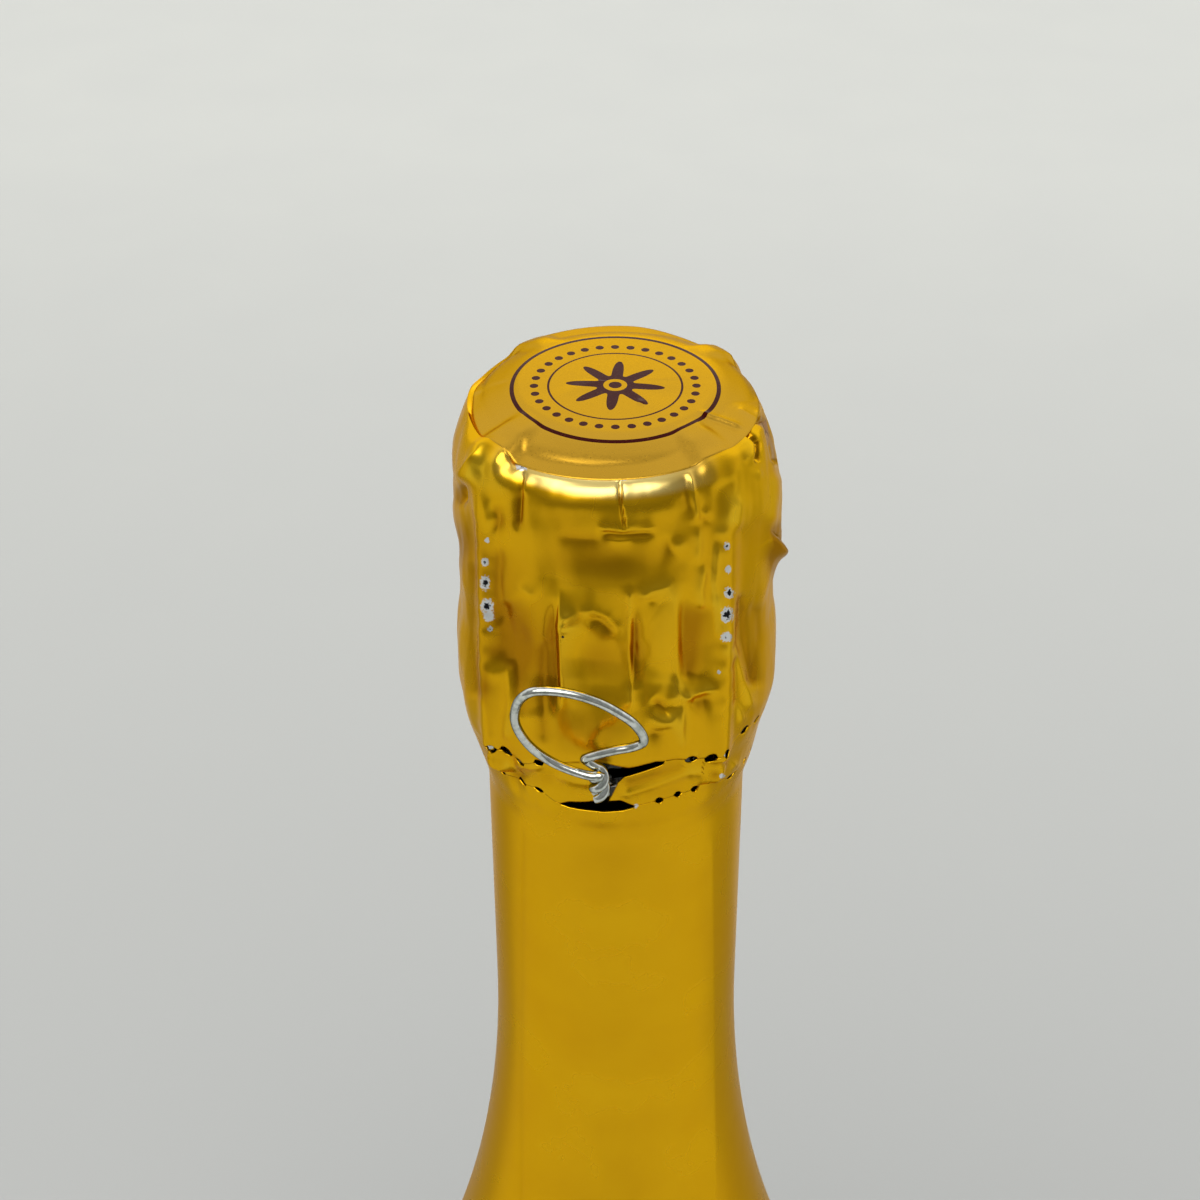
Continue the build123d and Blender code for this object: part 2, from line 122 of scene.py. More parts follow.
def soft_curve(points: tuple, at: np.ndarray) -> np.ndarray:
    """Reads a smooth curve through points at some places.

    Args:
        points: pairs of place and value, with rising places.
        at: the places to read.

    Returns:
        One value for each place, without overshoot.
    """
    places = np.array([point[0] for point in points], float)
    values = np.array([point[1] for point in points], float)
    steps = np.diff(values) / np.diff(places)
    slopes = np.zeros_like(values)
    same_way = steps[:-1] * steps[1:] > 0
    low, high = steps[:-1][same_way], steps[1:][same_way]
    slopes[1:-1][same_way] = 2 * low * high / (low + high)
    index = np.clip(np.searchsorted(places, at) - 1, 0, len(places) - 2)
    width = places[index + 1] - places[index]
    share = np.clip((at - places[index]) / width, 0.0, 1.0)
    cube, square = share**3, share**2
    return (
        (2 * cube - 3 * square + 1) * values[index]
        + (cube - 2 * square + share) * width * slopes[index]
        + (3 * square - 2 * cube) * values[index + 1]
        + (cube - square) * width * slopes[index + 1]
    )


def turned(angle: np.ndarray, middle: float = 0.0) -> np.ndarray:
    """Angles counted from a middle, from -180 to 180 degrees."""
    return (angle - middle + FULL_TURN / 2) % FULL_TURN - FULL_TURN / 2


def wrapped_noise(
    angle: np.ndarray, height: np.ndarray, cells: int, cell_height: float, seed: int
) -> np.ndarray:
    """Smooth noise on a round wall, without a seam at the back.

    Args:
        angle: angles in degrees.
        height: heights in millimetres.
        cells: cells once round the wall.
        cell_height: height of a cell.
        seed: seed of the random values.

    Returns:
        Values from about -1 to 1.
    """
    rows = 64
    lattice = np.random.default_rng(seed).uniform(-1, 1, (rows, cells))
    across = (angle / FULL_TURN % 1.0) * cells
    up = height / cell_height + rows / 2
    column, row = np.floor(across).astype(int), np.floor(up).astype(int)
    part, rise = across - column, up - row
    part = part * part * (3 - 2 * part)
    rise = rise * rise * (3 - 2 * rise)

    def value(down: int, over: int) -> np.ndarray:
        """The lattice value at a corner of the cell."""
        return lattice[(row + down) % rows, (column + over) % cells]

    low = value(0, 0) * (1 - part) + value(0, 1) * part
    high = value(1, 0) * (1 - part) + value(1, 1) * part
    return low * (1 - rise) + high * rise


@dataclass(frozen=True)
class PhotoCamera:
    """The photograph's camera, fitted to the foil's edges."""

    lens: float = 66.0
    sensor: float = 36.0
    frame_pixels: float = 1200.0
    axis_pixel: float = 616.0
    azimuth: float = 5.5
    distance: float = 190.886
    rise: float = 105.810
    pitch: float = 34.685
    clip: tuple = (0.01, 50.0)
    fit_steps: int = 120
    fit_start: float = -20.0
    fit_damping: float = 4.0
    least_facing: float = 0.3

    def place(self, top: float) -> None:
        """Adds the camera to the scene.

        Args:
            top: height of the foil's top.
        """
        data = bpy.data.cameras.new("photo_camera")
        data.lens = self.lens
        data.sensor_width = self.sensor
        data.clip_start, data.clip_end = self.clip
        data.shift_x = (self.frame_pixels / 2 - self.axis_pixel) / self.frame_pixels
        camera = bpy.data.objects.new("photo_camera", data)
        turn = math.radians(self.azimuth)
        away = Vector((math.sin(turn), -math.cos(turn), 0)) * self.distance
        camera.location = (away + Vector((0, 0, top + self.rise))) * METRES
        camera.rotation_euler = (math.radians(90 - self.pitch), 0, turn)
        bpy.context.scene.collection.objects.link(camera)
        bpy.context.scene.camera = camera

    def pixel(self, angle: np.ndarray, radius: np.ndarray, below: np.ndarray) -> tuple:
        """Finds where points of the bottle lie in the photograph.

        Args:
            angle: angles round the bottle.
            radius: distances from the axis.
            below: heights from the foil's top.

        Returns:
            Pixel columns, pixel rows and the pixels that a millimetre covers there.
        """
        turn = np.radians(angle - self.azimuth)
        across, away = radius * np.sin(turn), -radius * np.cos(turn)
        pitch = math.radians(self.pitch)
        depth = (away + self.distance) * math.cos(pitch) - (below - self.rise) * math.sin(pitch)
        up = (away + self.distance) * math.sin(pitch) + (below - self.rise) * math.cos(pitch)
        scale = self.lens / self.sensor * self.frame_pixels / depth
        return self.axis_pixel + across * scale, self.frame_pixels / 2 - up * scale, scale

    def on_wall(self, column: float, row: float, radius_at: Callable) -> tuple[float, float]:
        """Finds the point of a round wall that a pixel shows.

        Args:
            column: pixel column.
            row: pixel row.
            radius_at: the wall's radius at an angle and a height.

        Returns:
            Its angle and its height from the foil's top.
        """
        angle, below = self.azimuth, self.fit_start
        for _ in range(self.fit_steps):
            radius = radius_at(angle, below)
            seen_column, seen_row, scale = self.pixel(angle, radius, below)
            facing = max(math.cos(math.radians(angle - self.azimuth)), self.least_facing)
            angle += math.degrees((column - seen_column) / scale / radius / facing) / self.fit_damping
            below -= (row - seen_row) / scale / self.fit_damping
        return angle, below


# Finishes


@dataclass(frozen=True)
class Finish:
    """A surface finish that makes its own Blender material."""

    name: str

    def material(self) -> bpy.types.Material:
        """Makes the material, with its patterns on object coordinates in millimetres.

        Returns:
            The material, named for its finish.
        """
        material = bpy.data.materials.new(self.name)
        material.use_nodes = True
        tree = material.node_tree
        tree.nodes.clear()
        place = add_node(tree, "ShaderNodeTexCoord").outputs["Object"]
        place = add_node(tree, "ShaderNodeVectorMath", {0: place, "Scale": 1 / METRES}, operation="SCALE")
        surface = self.surface(partial(add_node, tree), place)
        add_node(tree, "ShaderNodeOutputMaterial", (add_node(tree, "ShaderNodeBsdfPrincipled", surface),))
        return material

    def surface(self, add: Callable, place: bpy.types.Node) -> dict:
        """Works out what the shader gets.

        Args:
            add: adds a node to the material.
            place: object coordinates in millimetres.

        Returns:
            Numbers, colours and nodes by the names of the shader's inputs.
        """
        raise NotImplementedError


@dataclass(frozen=True)
class GoldFoil(Finish):
    """Aluminium foil under a gold lacquer, satin and soft to bend.

    The lacquer gives a saturated yellow. Painted shade deepens it in the hollows of the creases, and
    painted highlights pale it on their ridges and in a band at the front just under the disc. Bare
    aluminium shows where the wire has rubbed through it, some with a dark core of painted shade where
    the foil is worn into a hole.
    """

    name: str = "lacquered_aluminium_foil"
    gold: str = "#F4BE10"
    deep: str = "#E9AD0C"
    edge_on: str = "#F0DCB0"
    bare: str = "#DFE1E4"
    # Painted shade in the core of a rub where the foil is worn into a hole.
    shade: str = "#16181D"
    # Painted highlight: a pale band at the front just under the disc, where the light from above shines.
    painted_band_highlight: str = "#FAE08C"
    band_highlight_height: tuple = (318.5, 319.3)
    band_highlight_front: tuple = (-12.5, -10.0)
    band_highlight_width: tuple = (5.0, 11.0)
    # Painted shade in the hollows of the creases.
    painted_hollow_shade: str = "#BC8204"
    painted_shade_depth: tuple = (-0.42, -0.02)
    # Painted highlight on the ridges of the creases.
    ridge: str = "#F7C826"
    ridge_highlight_height: tuple = (0.04, 0.672)
    tone_size: float = 9.0
    tone_reach: tuple = (0.3, 0.7)
    roughness: tuple = (0.24, 0.33)
    lacquer: float = 0.07
    lacquer_roughness: float = 0.14
    grain_size: float = 0.16
    grain_bump: tuple = (0.08, 0.02)
    ragged: float = 1.5
    ragged_per_mm: float = 3.6
    rub_edge: tuple = (0.85, 1.05)
    core_edge: tuple = (-0.08, 0.08)

    def surface(self, add: Callable, place: bpy.types.Node) -> dict:
        """Lays painted shade in the creases' hollows, painted highlights on their ridges and on a band at the
        front, and the rubbed marks over the gold.

        Args:
            add: adds a node to the material.
            place: object coordinates in millimetres.

        Returns:
            The shader's inputs.
        """
        tone = add("ShaderNodeTexNoise", {"Vector": place, "Scale": 1 / self.tone_size, "Detail": 3.0})
        grain = add("ShaderNodeTexNoise", {"Vector": place, "Scale": 1 / self.grain_size, "Detail": 2.0})
        wobble = add("ShaderNodeTexNoise", {"Vector": place, "Scale": self.ragged_per_mm, "Detail": 4.0})
        x, y, z = add("ShaderNodeSeparateXYZ", (place,)).outputs
        painted = add("ShaderNodeAttribute", attribute_name="rubbed").outputs["Vector"]
        distance, core, crease = add("ShaderNodeSeparateXYZ", (painted,)).outputs
        # Painted shade in the hollows and painted highlight on the ridges, read from the crease heights and
        # the painted shade marks.
        crease_shade_share = add("ShaderNodeMapRange", (crease, *self.painted_shade_depth, 1.0, 0.0))
        proud = add("ShaderNodeMapRange", (crease, *self.ridge_highlight_height))
        # Painted highlight: a pale band at the front just under the disc.
        high = add("ShaderNodeMapRange", (z, *self.band_highlight_height), interpolation_type="SMOOTHSTEP")
        front = add("ShaderNodeMapRange", (y, *self.band_highlight_front, 1.0, 0.0))
        aside = add("ShaderNodeMath", (x,), operation="ABSOLUTE")
        middle = add("ShaderNodeMapRange", (aside, *self.band_highlight_width, 1.0, 0.0))
        band_highlight_share = add("ShaderNodeMath", (high, front), operation="MULTIPLY")
        band_highlight_share = add("ShaderNodeMath", (band_highlight_share, middle), operation="MULTIPLY")
        ragged = add("ShaderNodeMath", (wobble, self.ragged, distance), operation="MULTIPLY_ADD")
        ragged = add("ShaderNodeMath", (ragged, self.ragged / 2), operation="SUBTRACT")
        worn = add("ShaderNodeMapRange", (ragged, *self.rub_edge, 1.0, 0.0))
        # A rub's dark core is painted shade where the foil is worn into a hole.
        inside = add("ShaderNodeMath", (core, ragged), operation="SUBTRACT")
        inside = add("ShaderNodeMapRange", (inside, *self.core_edge))
        bare = add("ShaderNodeMix", {0: inside, 6: self.bare, 7: self.shade}, data_type="RGBA")
        colour = add("ShaderNodeMix", {0: tone, 6: self.gold, 7: self.deep}, data_type="RGBA")
        layers = ((crease_shade_share, self.painted_hollow_shade), (proud, self.ridge), (band_highlight_share, self.painted_band_highlight), (worn, bare))
        for share, layer in layers:
            colour = add("ShaderNodeMix", {0: share, 6: colour, 7: layer}, data_type="RGBA")
        strength, depth = self.grain_bump
        bump = {"Height": grain, "Strength": strength, "Distance": depth * METRES}
        return {
            "Base Color": colour,
            "Metallic": 1.0,
            "Roughness": add("ShaderNodeMapRange", (tone, *self.tone_reach, *self.roughness)),
            "Normal": add("ShaderNodeBump", bump),
            "Coat Weight": self.lacquer,
            "Coat Roughness": self.lacquer_roughness,
            "Specular Tint": linear(self.edge_on),
        }


@dataclass(frozen=True)
class PrintedDiscFoil(Finish):
    """Thicker foil with a matt gold lacquer and a dark red print of rings, beads and a star."""

    name: str = "printed_gold_disc_foil"
    gold: str = "#CE9F31"
    edge_on: str = "#E8D0A0"
    ink: str = "#3A0408"
    roughness: tuple = (0.26, 0.40)
    grain_per_mm: float = 5.5
    grain_reach: tuple = (0.3, 0.7)
    grain_bump: tuple = (0.3, 0.03)
    worn_grain: tuple = (0.28, 0.36)
    worn_ink: float = 0.85
    ink_metal: float = 0.1
    mirroring: float = 0.1
    outer_ring: tuple = (10.2, 0.42)
    inner_ring: tuple = (6.6, 0.22)
    bead_circle: float = 8.0
    bead_radius: float = 0.42
    bead_count: int = 32
    star_radius: float = 4.9
    star_depth: float = 1.9
    star_points: int = 8
    star_sharpness: float = 1.6
    star_hole: float = 1.178
    pip_radius: float = 0.646
    shift: float = 0.8

    def surface(self, add: Callable, place: bpy.types.Node) -> dict:
        """Prints the pattern on the gold, a little worn.

        Args:
            add: adds a node to the material.
            place: object coordinates in millimetres.

        Returns:
            The shader's inputs.
        """
        x, y, _ = add("ShaderNodeSeparateXYZ", (place,)).outputs
        ahead = add("ShaderNodeMath", (y, self.shift), operation="ADD")
        flat = add("ShaderNodeCombineXYZ", (x, ahead))
        radius = add("ShaderNodeVectorMath", (flat,), operation="LENGTH")
        turn = add("ShaderNodeMath", (ahead, x), operation="ARCTAN2")
        beads_per_turn = self.bead_count / math.tau
        star_rise = self.star_radius - self.star_depth
        rings = [
            (radius, ("SUBTRACT", circle), ("ABSOLUTE",), ("LESS_THAN", width / 2))
            for circle, width in (self.outer_ring, self.inner_ring)
        ]
        bead_step = (("FRACT",), ("SUBTRACT", 0.5), ("MULTIPLY", self.bead_circle / beads_per_turn))
        star_wave = (("COSINE",), ("MULTIPLY_ADD", 0.5, 0.5), ("POWER", self.star_sharpness))
        chains = (
            (turn, ("MULTIPLY", beads_per_turn), *bead_step),
            (radius, ("SUBTRACT", self.bead_circle)),
            (turn, ("MULTIPLY", self.star_points), *star_wave, ("MULTIPLY_ADD", star_rise, self.star_depth)),
            (radius, ("GREATER_THAN", self.star_hole)),
            (radius, ("LESS_THAN", self.pip_radius)),
            *rings,
        )
        results = []
        for value, *steps in chains:
            for operation, *numbers in steps:
                value = add("ShaderNodeMath", (value, *numbers), operation=operation)
            results.append(value)
        along, out, reach, hole, pip, outer, inner = results
        off_bead = add("ShaderNodeCombineXYZ", (along, out))
        off_bead = add("ShaderNodeVectorMath", (off_bead,), operation="LENGTH")
        beads = add("ShaderNodeMath", (off_bead, self.bead_radius), operation="LESS_THAN")
        star = add("ShaderNodeMath", (radius, reach), operation="LESS_THAN")
        star = add("ShaderNodeMath", (star, hole), operation="MULTIPLY")
        ink = outer
        for part in (inner, beads, star, pip):
            ink = add("ShaderNodeMath", (ink, part), operation="MAXIMUM")
        grain = add("ShaderNodeTexNoise", {"Vector": place, "Scale": self.grain_per_mm, "Detail": 3.0})
        worn = add("ShaderNodeMapRange", (grain, *self.worn_grain, self.worn_ink, 1.0))
        shown = add("ShaderNodeMath", (ink, worn), operation="MULTIPLY")
        strength, depth = self.grain_bump
        bump = {"Height": grain, "Strength": strength, "Distance": depth * METRES}
        return {
            "Base Color": add("ShaderNodeMix", {0: shown, 6: self.gold, 7: self.ink}, data_type="RGBA"),
            "Metallic": add("ShaderNodeMath", (ink, self.ink_metal - 1, 1.0), operation="MULTIPLY_ADD"),
            "Roughness": add("ShaderNodeMapRange", (grain, *self.grain_reach, *self.roughness)),
            "Normal": add("ShaderNodeBump", bump),
            "Specular Tint": linear(self.edge_on),
            "Specular IOR Level": self.mirroring,
        }


@dataclass(frozen=True)
class GalvanisedWire(Finish):
    """Soft steel wire with a bright zinc coat, faintly mottled and drawn along its length."""

    name: str = "galvanised_steel_wire"
    zinc: str = "#E6EAE6"
    dull: str = "#B9C0BA"
    edge_on: str = "#5C625D"
    mottle_per_mm: float = 1.6
    mottle_colour: tuple = (0.42, 0.68)
    mottle_reach: tuple = (0.35, 0.7)
    roughness: tuple = (0.09, 0.22)
    scratches_per_mm: float = 7.0
    scratch_bump: tuple = (0.08, 0.02)

    def surface(self, add: Callable, place: bpy.types.Node) -> dict:
        """Mottles the zinc and scratches it finely.

        Args:
            add: adds a node to the material.
            place: object coordinates in millimetres.

        Returns:
            The shader's inputs.
        """
        mottle = add("ShaderNodeTexNoise", {"Vector": place, "Scale": self.mottle_per_mm, "Detail": 4.0})
        scratch = add("ShaderNodeTexNoise", {"Vector": place, "Scale": self.scratches_per_mm, "Detail": 3.0})
        blend = add("ShaderNodeMapRange", (mottle, *self.mottle_colour))
        strength, depth = self.scratch_bump
        bump = {"Height": scratch, "Strength": strength, "Distance": depth * METRES}
        return {
            "Base Color": add("ShaderNodeMix", {0: blend, 6: self.zinc, 7: self.dull}, data_type="RGBA"),
            "Metallic": 1.0,
            "Roughness": add("ShaderNodeMapRange", (mottle, *self.mottle_reach, *self.roughness)),
            "Normal": add("ShaderNodeBump", bump),
            "Specular Tint": linear(self.edge_on),
        }


@dataclass(frozen=True)
class BottleGlass(Finish):
    """Dark green soda-lime glass, pressed and fire polished."""

    name: str = "dark_green_bottle_glass"
    green: str = "#2E4A26"
    dark: str = "#28421F"
    least_green: float = 0.9
    waves_per_mm: float = 0.06
    wave_bump: tuple = (0.15, 0.4)
    roughness: float = 0.02
    bending: float = 1.52

    def surface(self, add: Callable, place: bpy.types.Node) -> dict:
        """Waves the glass softly, as pressing leaves it.

        Args:
            add: adds a node to the material.
            place: object coordinates in millimetres.

        Returns:
            The shader's inputs.
        """
        waves = add("ShaderNodeTexNoise", {"Vector": place, "Scale": self.waves_per_mm, "Detail": 2.0})
        tone = add("ShaderNodeMapRange", {0: waves, 3: self.least_green, 4: 1.0})
        strength, depth = self.wave_bump
        bump = {"Height": waves, "Strength": strength, "Distance": depth * METRES}
        return {
            "Base Color": add("ShaderNodeMix", {0: tone, 6: self.dark, 7: self.green}, data_type="RGBA"),
            "Roughness": self.roughness,
            "IOR": self.bending,
            "Transmission Weight": 1.0,
            "Normal": add("ShaderNodeBump", bump),
        }


@dataclass(frozen=True)
class SparklingWine(Finish):
    """Pale gold wine, clear, with few bubbles while the cork is in."""

    name: str = "pale_gold_wine"
    straw: str = "#E7D08A"
    gold: str = "#DFC47A"
    drift_per_mm: float = 0.05
    bending: float = 1.34

    def surface(self, add: Callable, place: bpy.types.Node) -> dict:
        """Gives clear wine with a slow drift of its tone.

        Args:
            add: adds a node to the material.
            place: object coordinates in millimetres.

        Returns:
            The shader's inputs.
        """
        drift = add("ShaderNodeTexNoise", {"Vector": place, "Scale": self.drift_per_mm, "Detail": 1.0})
        return {
            "Base Color": add("ShaderNodeMix", {0: drift, 6: self.straw, 7: self.gold}, data_type="RGBA"),
            "Roughness": 0.0,
            "IOR": self.bending,
            "Transmission Weight": 1.0,
        }


@dataclass(frozen=True)
class PressedCork(Finish):
    """Cork, either granules of 2 to 4 mm pressed with a binder or a slice of natural cork with pores."""

    name: str
    granule: float
    light: str
    dark: str
    pore: str = "#4E331E"
    grain_per_mm: float = 2.2
    tone_reach: tuple = (0.2, 1.3)
    seam_width: float = 0.07
    seam_darkness: float = 0.75
    bump: tuple = (0.6, 0.25)
    roughness: float = 0.85

    def surface(self, add: Callable, place: bpy.types.Node) -> dict:
        """Colours each granule and sinks the dark seams between them.

        Args:
            add: adds a node to the material.
            place: object coordinates in millimetres.

        Returns:
            The shader's inputs.
        """
        cells = {"Vector": place, "Scale": 1 / self.granule}
        tone = add("ShaderNodeTexVoronoi", cells).outputs["Color"]
        tone = add("ShaderNodeSeparateColor", (tone,))
        seams = add("ShaderNodeTexVoronoi", cells, feature="DISTANCE_TO_EDGE")
        fine = add("ShaderNodeTexNoise", {"Vector": place, "Scale": self.grain_per_mm, "Detail": 5.0})
        tone = add("ShaderNodeMath", (fine, 0.5, tone), operation="MULTIPLY_ADD")
        tone = add("ShaderNodeMapRange", (tone, *self.tone_reach))
        colour = add("ShaderNodeMix", {0: tone, 6: self.light, 7: self.dark}, data_type="RGBA")
        seam = add("ShaderNodeMapRange", (seams, 0.0, self.seam_width, self.seam_darkness, 0.0))
        height = add("ShaderNodeMath", (fine, 0.6, seams), operation="MULTIPLY_ADD")
        strength, depth = self.bump
        bump = {"Height": height, "Strength": strength, "Distance": depth * METRES}
        return {
            "Base Color": add("ShaderNodeMix", {0: seam, 6: colour, 7: self.pore}, data_type="RGBA"),
            "Roughness": self.roughness,
            "Normal": add("ShaderNodeBump", bump),
        }


@dataclass(frozen=True)
class LacqueredTinplate(Finish):
    """Pressed tinplate with a clear gold lacquer, slightly brushed by its rolling."""

    name: str = "gold_lacquered_tinplate"
    gold: str = "#D9B866"
    deep: str = "#C9A24E"
    lines_per_mm: tuple = (0.15, 6.0, 0.15)
    roughness: tuple = (0.22, 0.36)

    def surface(self, add: Callable, place: bpy.types.Node) -> dict:
        """Draws the long fine lines of the rolling.

        Args:
            add: adds a node to the material.
            place: object coordinates in millimetres.

        Returns:
            The shader's inputs.
        """
        rolled = add("ShaderNodeMapping", {0: place, "Scale": self.lines_per_mm})
        lines = add("ShaderNodeTexNoise", {"Vector": rolled, "Scale": 1.0, "Detail": 3.0})
        return {
            "Base Color": add("ShaderNodeMix", {0: lines, 6: self.gold, 7: self.deep}, data_type="RGBA"),
            "Metallic": 1.0,
            "Roughness": add("ShaderNodeMapRange", (lines, 0.0, 1.0, *self.roughness)),
        }


@dataclass(frozen=True)
class PaleFloor(Finish):
    """Matt pale paper that the bottle stands on.

    The foil and the glass mirror the dim side of the room past the paper's front edge, so for reflected
    rays alone the paper turns dim there, and partly dim behind the bottle. Painted shade darkens the
    paper towards the camera and fades out behind the bottle.
    """

    name: str = "matt_pale_paper"
    pale: str = "#D7D9D6"
    tooth: str = "#D3D5D3"
    # Painted shade: the paper's colour towards the camera, fading to the pale one behind the bottle.
    near: str = "#BDBFBF"
    mirrored: str = "#CACCC9"
    dim: str = "#72726F"
    front_edge: tuple = (-590.0, -450.0)
    back_edge: tuple = (20.0, 90.0)
    far_edge: tuple = (195.0, 290.0)
    back_dimness: tuple = (0.5, 0.15)
    front_shade_reach: tuple = (150.0, 800.0)
    fibres_per_mm: float = 0.02
    roughness: float = 0.9
    mirroring: float = 0.1

    def surface(self, add: Callable, place: bpy.types.Node) -> dict:
        """Gives the paper's colour to the camera and the dimmed one to reflections.

        Args:
            add: adds a node to the material.
            place: object coordinates in millimetres.

        Returns:
            The shader's inputs.
        """
        soft = {"interpolation_type": "SMOOTHSTEP"}
        fibre = add("ShaderNodeTexNoise", {"Vector": place, "Scale": self.fibres_per_mm, "Detail": 2.0})
        paper = add("ShaderNodeMix", {0: fibre, 6: self.pale, 7: self.tooth}, data_type="RGBA")
        depth = add("ShaderNodeSeparateXYZ", (place,)).outputs[1]
        front = add("ShaderNodeMapRange", (depth, *self.front_edge, 1.0, 0.0), **soft)
        back = add("ShaderNodeMapRange", (depth, *self.back_edge), **soft)
        fading = add("ShaderNodeMapRange", (depth, *self.far_edge, *self.back_dimness), **soft)
        back = add("ShaderNodeMath", (back, fading), operation="MULTIPLY")
        dimness = add("ShaderNodeMath", (front, back), operation="MAXIMUM")
        # Painted shade darkens the paper towards the camera.
        front_shade = add("ShaderNodeMapRange", (depth, *self.front_shade_reach))
        front_shade = add("ShaderNodeMix", {0: front_shade, 6: self.near, 7: paper}, data_type="RGBA")
        reflected = add("ShaderNodeLightPath").outputs["Is Glossy Ray"]
        dimness = add("ShaderNodeMath", (dimness, reflected), operation="MULTIPLY")
        seen = add("ShaderNodeMix", {0: reflected, 6: front_shade, 7: self.mirrored}, data_type="RGBA")
        return {
            "Base Color": add("ShaderNodeMix", {0: dimness, 6: seen, 7: self.dim}, data_type="RGBA"),
            "Roughness": self.roughness,
            "Specular IOR Level": self.mirroring,
        }


# Meshes


def mesh_object(
    name: str, vertices: np.ndarray, faces: list, material: bpy.types.Material
) -> bpy.types.Object:
    """Makes a smooth mesh object at the origin.

    Args:
        name: the piece's name.
        vertices: points in millimetres in the bottle's frame.
        faces: lists of point numbers.
        material: the finish of every face.

    Returns:
        The object, linked to the scene.
    """
    mesh = bpy.data.meshes.new(name)
    mesh.from_pydata((vertices * METRES).tolist(), [], faces)
    mesh.materials.append(material)
    mesh.update()
    mesh.shade_smooth()
    piece = bpy.data.objects.new(name, mesh)
    bpy.context.scene.collection.objects.link(piece)
    return piece


def wall_faces(rows: int, columns: int, start: int = 0, closed: bool = True, flip: bool = False) -> list:
    """Quads of a wall of points.

    Args:
        rows: points up the wall.
        columns: points round the wall.
        start: number of the first point.
        closed: whether the last column joins the first.
        flip: whether the faces look inwards.

    Returns:
        One list of four point numbers for each quad.
    """
    faces = []
    for row in range(rows - 1):
        low = start + row * columns
        for column in range(columns if closed else columns - 1):
            after = (column + 1) % columns
            quad = [low + column, low + after, low + columns + after, low + columns + column]
            faces.append(quad[::-1] if flip else quad)
    return faces


def bridge_faces(first: range, second: range, closed: bool = True) -> list:
    """Quads between two runs of point numbers.

    Args:
        first: numbers along one edge.
        second: as many numbers along the other.
        closed: whether the last quad joins the first.

    Returns:
        One list of four point numbers for each quad.
    """
    faces = []
    for index in range(len(first) if closed else len(first) - 1):
        after = (index + 1) % len(first)
        faces.append([first[index], first[after], second[after], second[index]])
    return faces


def plain_mesh(piece: bpy.types.Object) -> bpy.types.Object:
    """Turns a piece with modifiers into a plain mesh with the same name.

    Args:
        piece: the object to replace.

    Returns:
        The new object.
    """
    graph = bpy.context.evaluated_depsgraph_get()
    mesh = bpy.data.meshes.new_from_object(piece.evaluated_get(graph), depsgraph=graph)
    name, old = piece.name, piece.data
    bpy.data.objects.remove(piece)
    bpy.data.meshes.remove(old)
    mesh.name = name
    fresh = bpy.data.objects.new(name, mesh)
    bpy.context.scene.collection.objects.link(fresh)
    return fresh


def fix(piece: bpy.types.Object, body: str, node: str) -> None:
    """Lets a piece ride on its body and hides the node that it stands in for.

    Args:
        piece: the piece.
        body: the body that carries it.
        node: the node that it stands in for.
    """
    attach(piece, body)
    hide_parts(node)


# Creases


class FoldForm(Enum):
    """The ways that the foil is creased."""

    RIDGE = "ridge"
    GROOVE = "groove"
    LAP = "lap"


@dataclass(frozen=True)
class Fold:
    """A crease along a trace, in pixels of the photograph or in millimetres round the wall.

    A lap stands proud on one side of its line, to the right of the way it runs, and falls off sharply on
    the other.
    """

    trace: tuple
    height: float
    width: float
    form: FoldForm = FoldForm.RIDGE
    edge: float = 0.12
    fade: float = 1.2
    steepness: float = 4.0

    def relief(self, across: np.ndarray, down: np.ndarray, unit: np.ndarray) -> np.ndarray:
        """Works out how far the crease moves each point of the foil.

        Args:
            across: places of the points across the trace's plane.
            down: places of the points down it.
            unit: the millimetres that one step of the plane covers at each point.

        Returns:
            Heights in millimetres.
        """
        best = np.full(across.shape, 1e9)
        aside = np.zeros_like(best)
        along = np.zeros_like(best)
        run = 0.0
        for (x0, y0), (x1, y1) in zip(self.trace[:-1], self.trace[1:]):
            dx, dy = x1 - x0, y1 - y0
            span = math.hypot(dx, dy)
            share = np.clip(((across - x0) * dx + (down - y0) * dy) / span**2, 0.0, 1.0)
            off_x, off_y = across - (x0 + dx * share), down - (y0 + dy * share)
            away = np.hypot(off_x, off_y)
            side = np.where(off_x * dy - off_y * dx > 0, away, -away)
            nearer = away < best
            best = np.where(nearer, away, best)
            aside = np.where(nearer, side, aside)
            along = np.where(nearer, run + share * span, along)
            run += span
        aside, away = aside * unit, best * unit
        ends = np.minimum(along, run - along) * unit
        strength = smooth_step(-0.05, self.fade, ends)
        if self.form is FoldForm.LAP:
            step = 1.0 / (1.0 + np.exp(np.clip(-aside / self.edge * self.steepness, -40, 40)))
            shape = step * np.exp(-np.maximum(aside, 0.0) / self.width)
            shape = shape * np.exp(-((np.maximum(away - np.abs(aside), 0.0) / self.width) ** 2))
        else:
            shape = np.exp(-(np.sqrt(away**2 + self.edge**2) - self.edge) / self.width)
        sign = -1.0 if self.form is FoldForm.GROOVE else 1.0
        return sign * self.height * strength * shape


@dataclass(frozen=True)
class Dent:
    """A soft swelling, or a dent where its height is negative, at a place of the photograph."""

    place: tuple
    size: tuple
    height: float
    slant: float = 0.0

    def relief(self, across: np.ndarray, down: np.ndarray, unit: np.ndarray) -> np.ndarray:
        """Works out how far the swelling moves each point of the foil.

        Args:
            across: places of the points across the photograph.
            down: places of the points down it.
            unit: the millimetres that a pixel covers at each point.

        Returns:
            Heights in millimetres.
        """
        turn = math.radians(self.slant)
        right, below = (across - self.place[0]) * unit, (down - self.place[1]) * unit
        long = right * math.cos(turn) + below * math.sin(turn)
        short = below * math.cos(turn) - right * math.sin(turn)
        return self.height * np.exp(-((long / self.size[0]) ** 2) - (short / self.size[1]) ** 2)


RIDGE, GROOVE, LAP = FoldForm.RIDGE, FoldForm.GROOVE, FoldForm.LAP
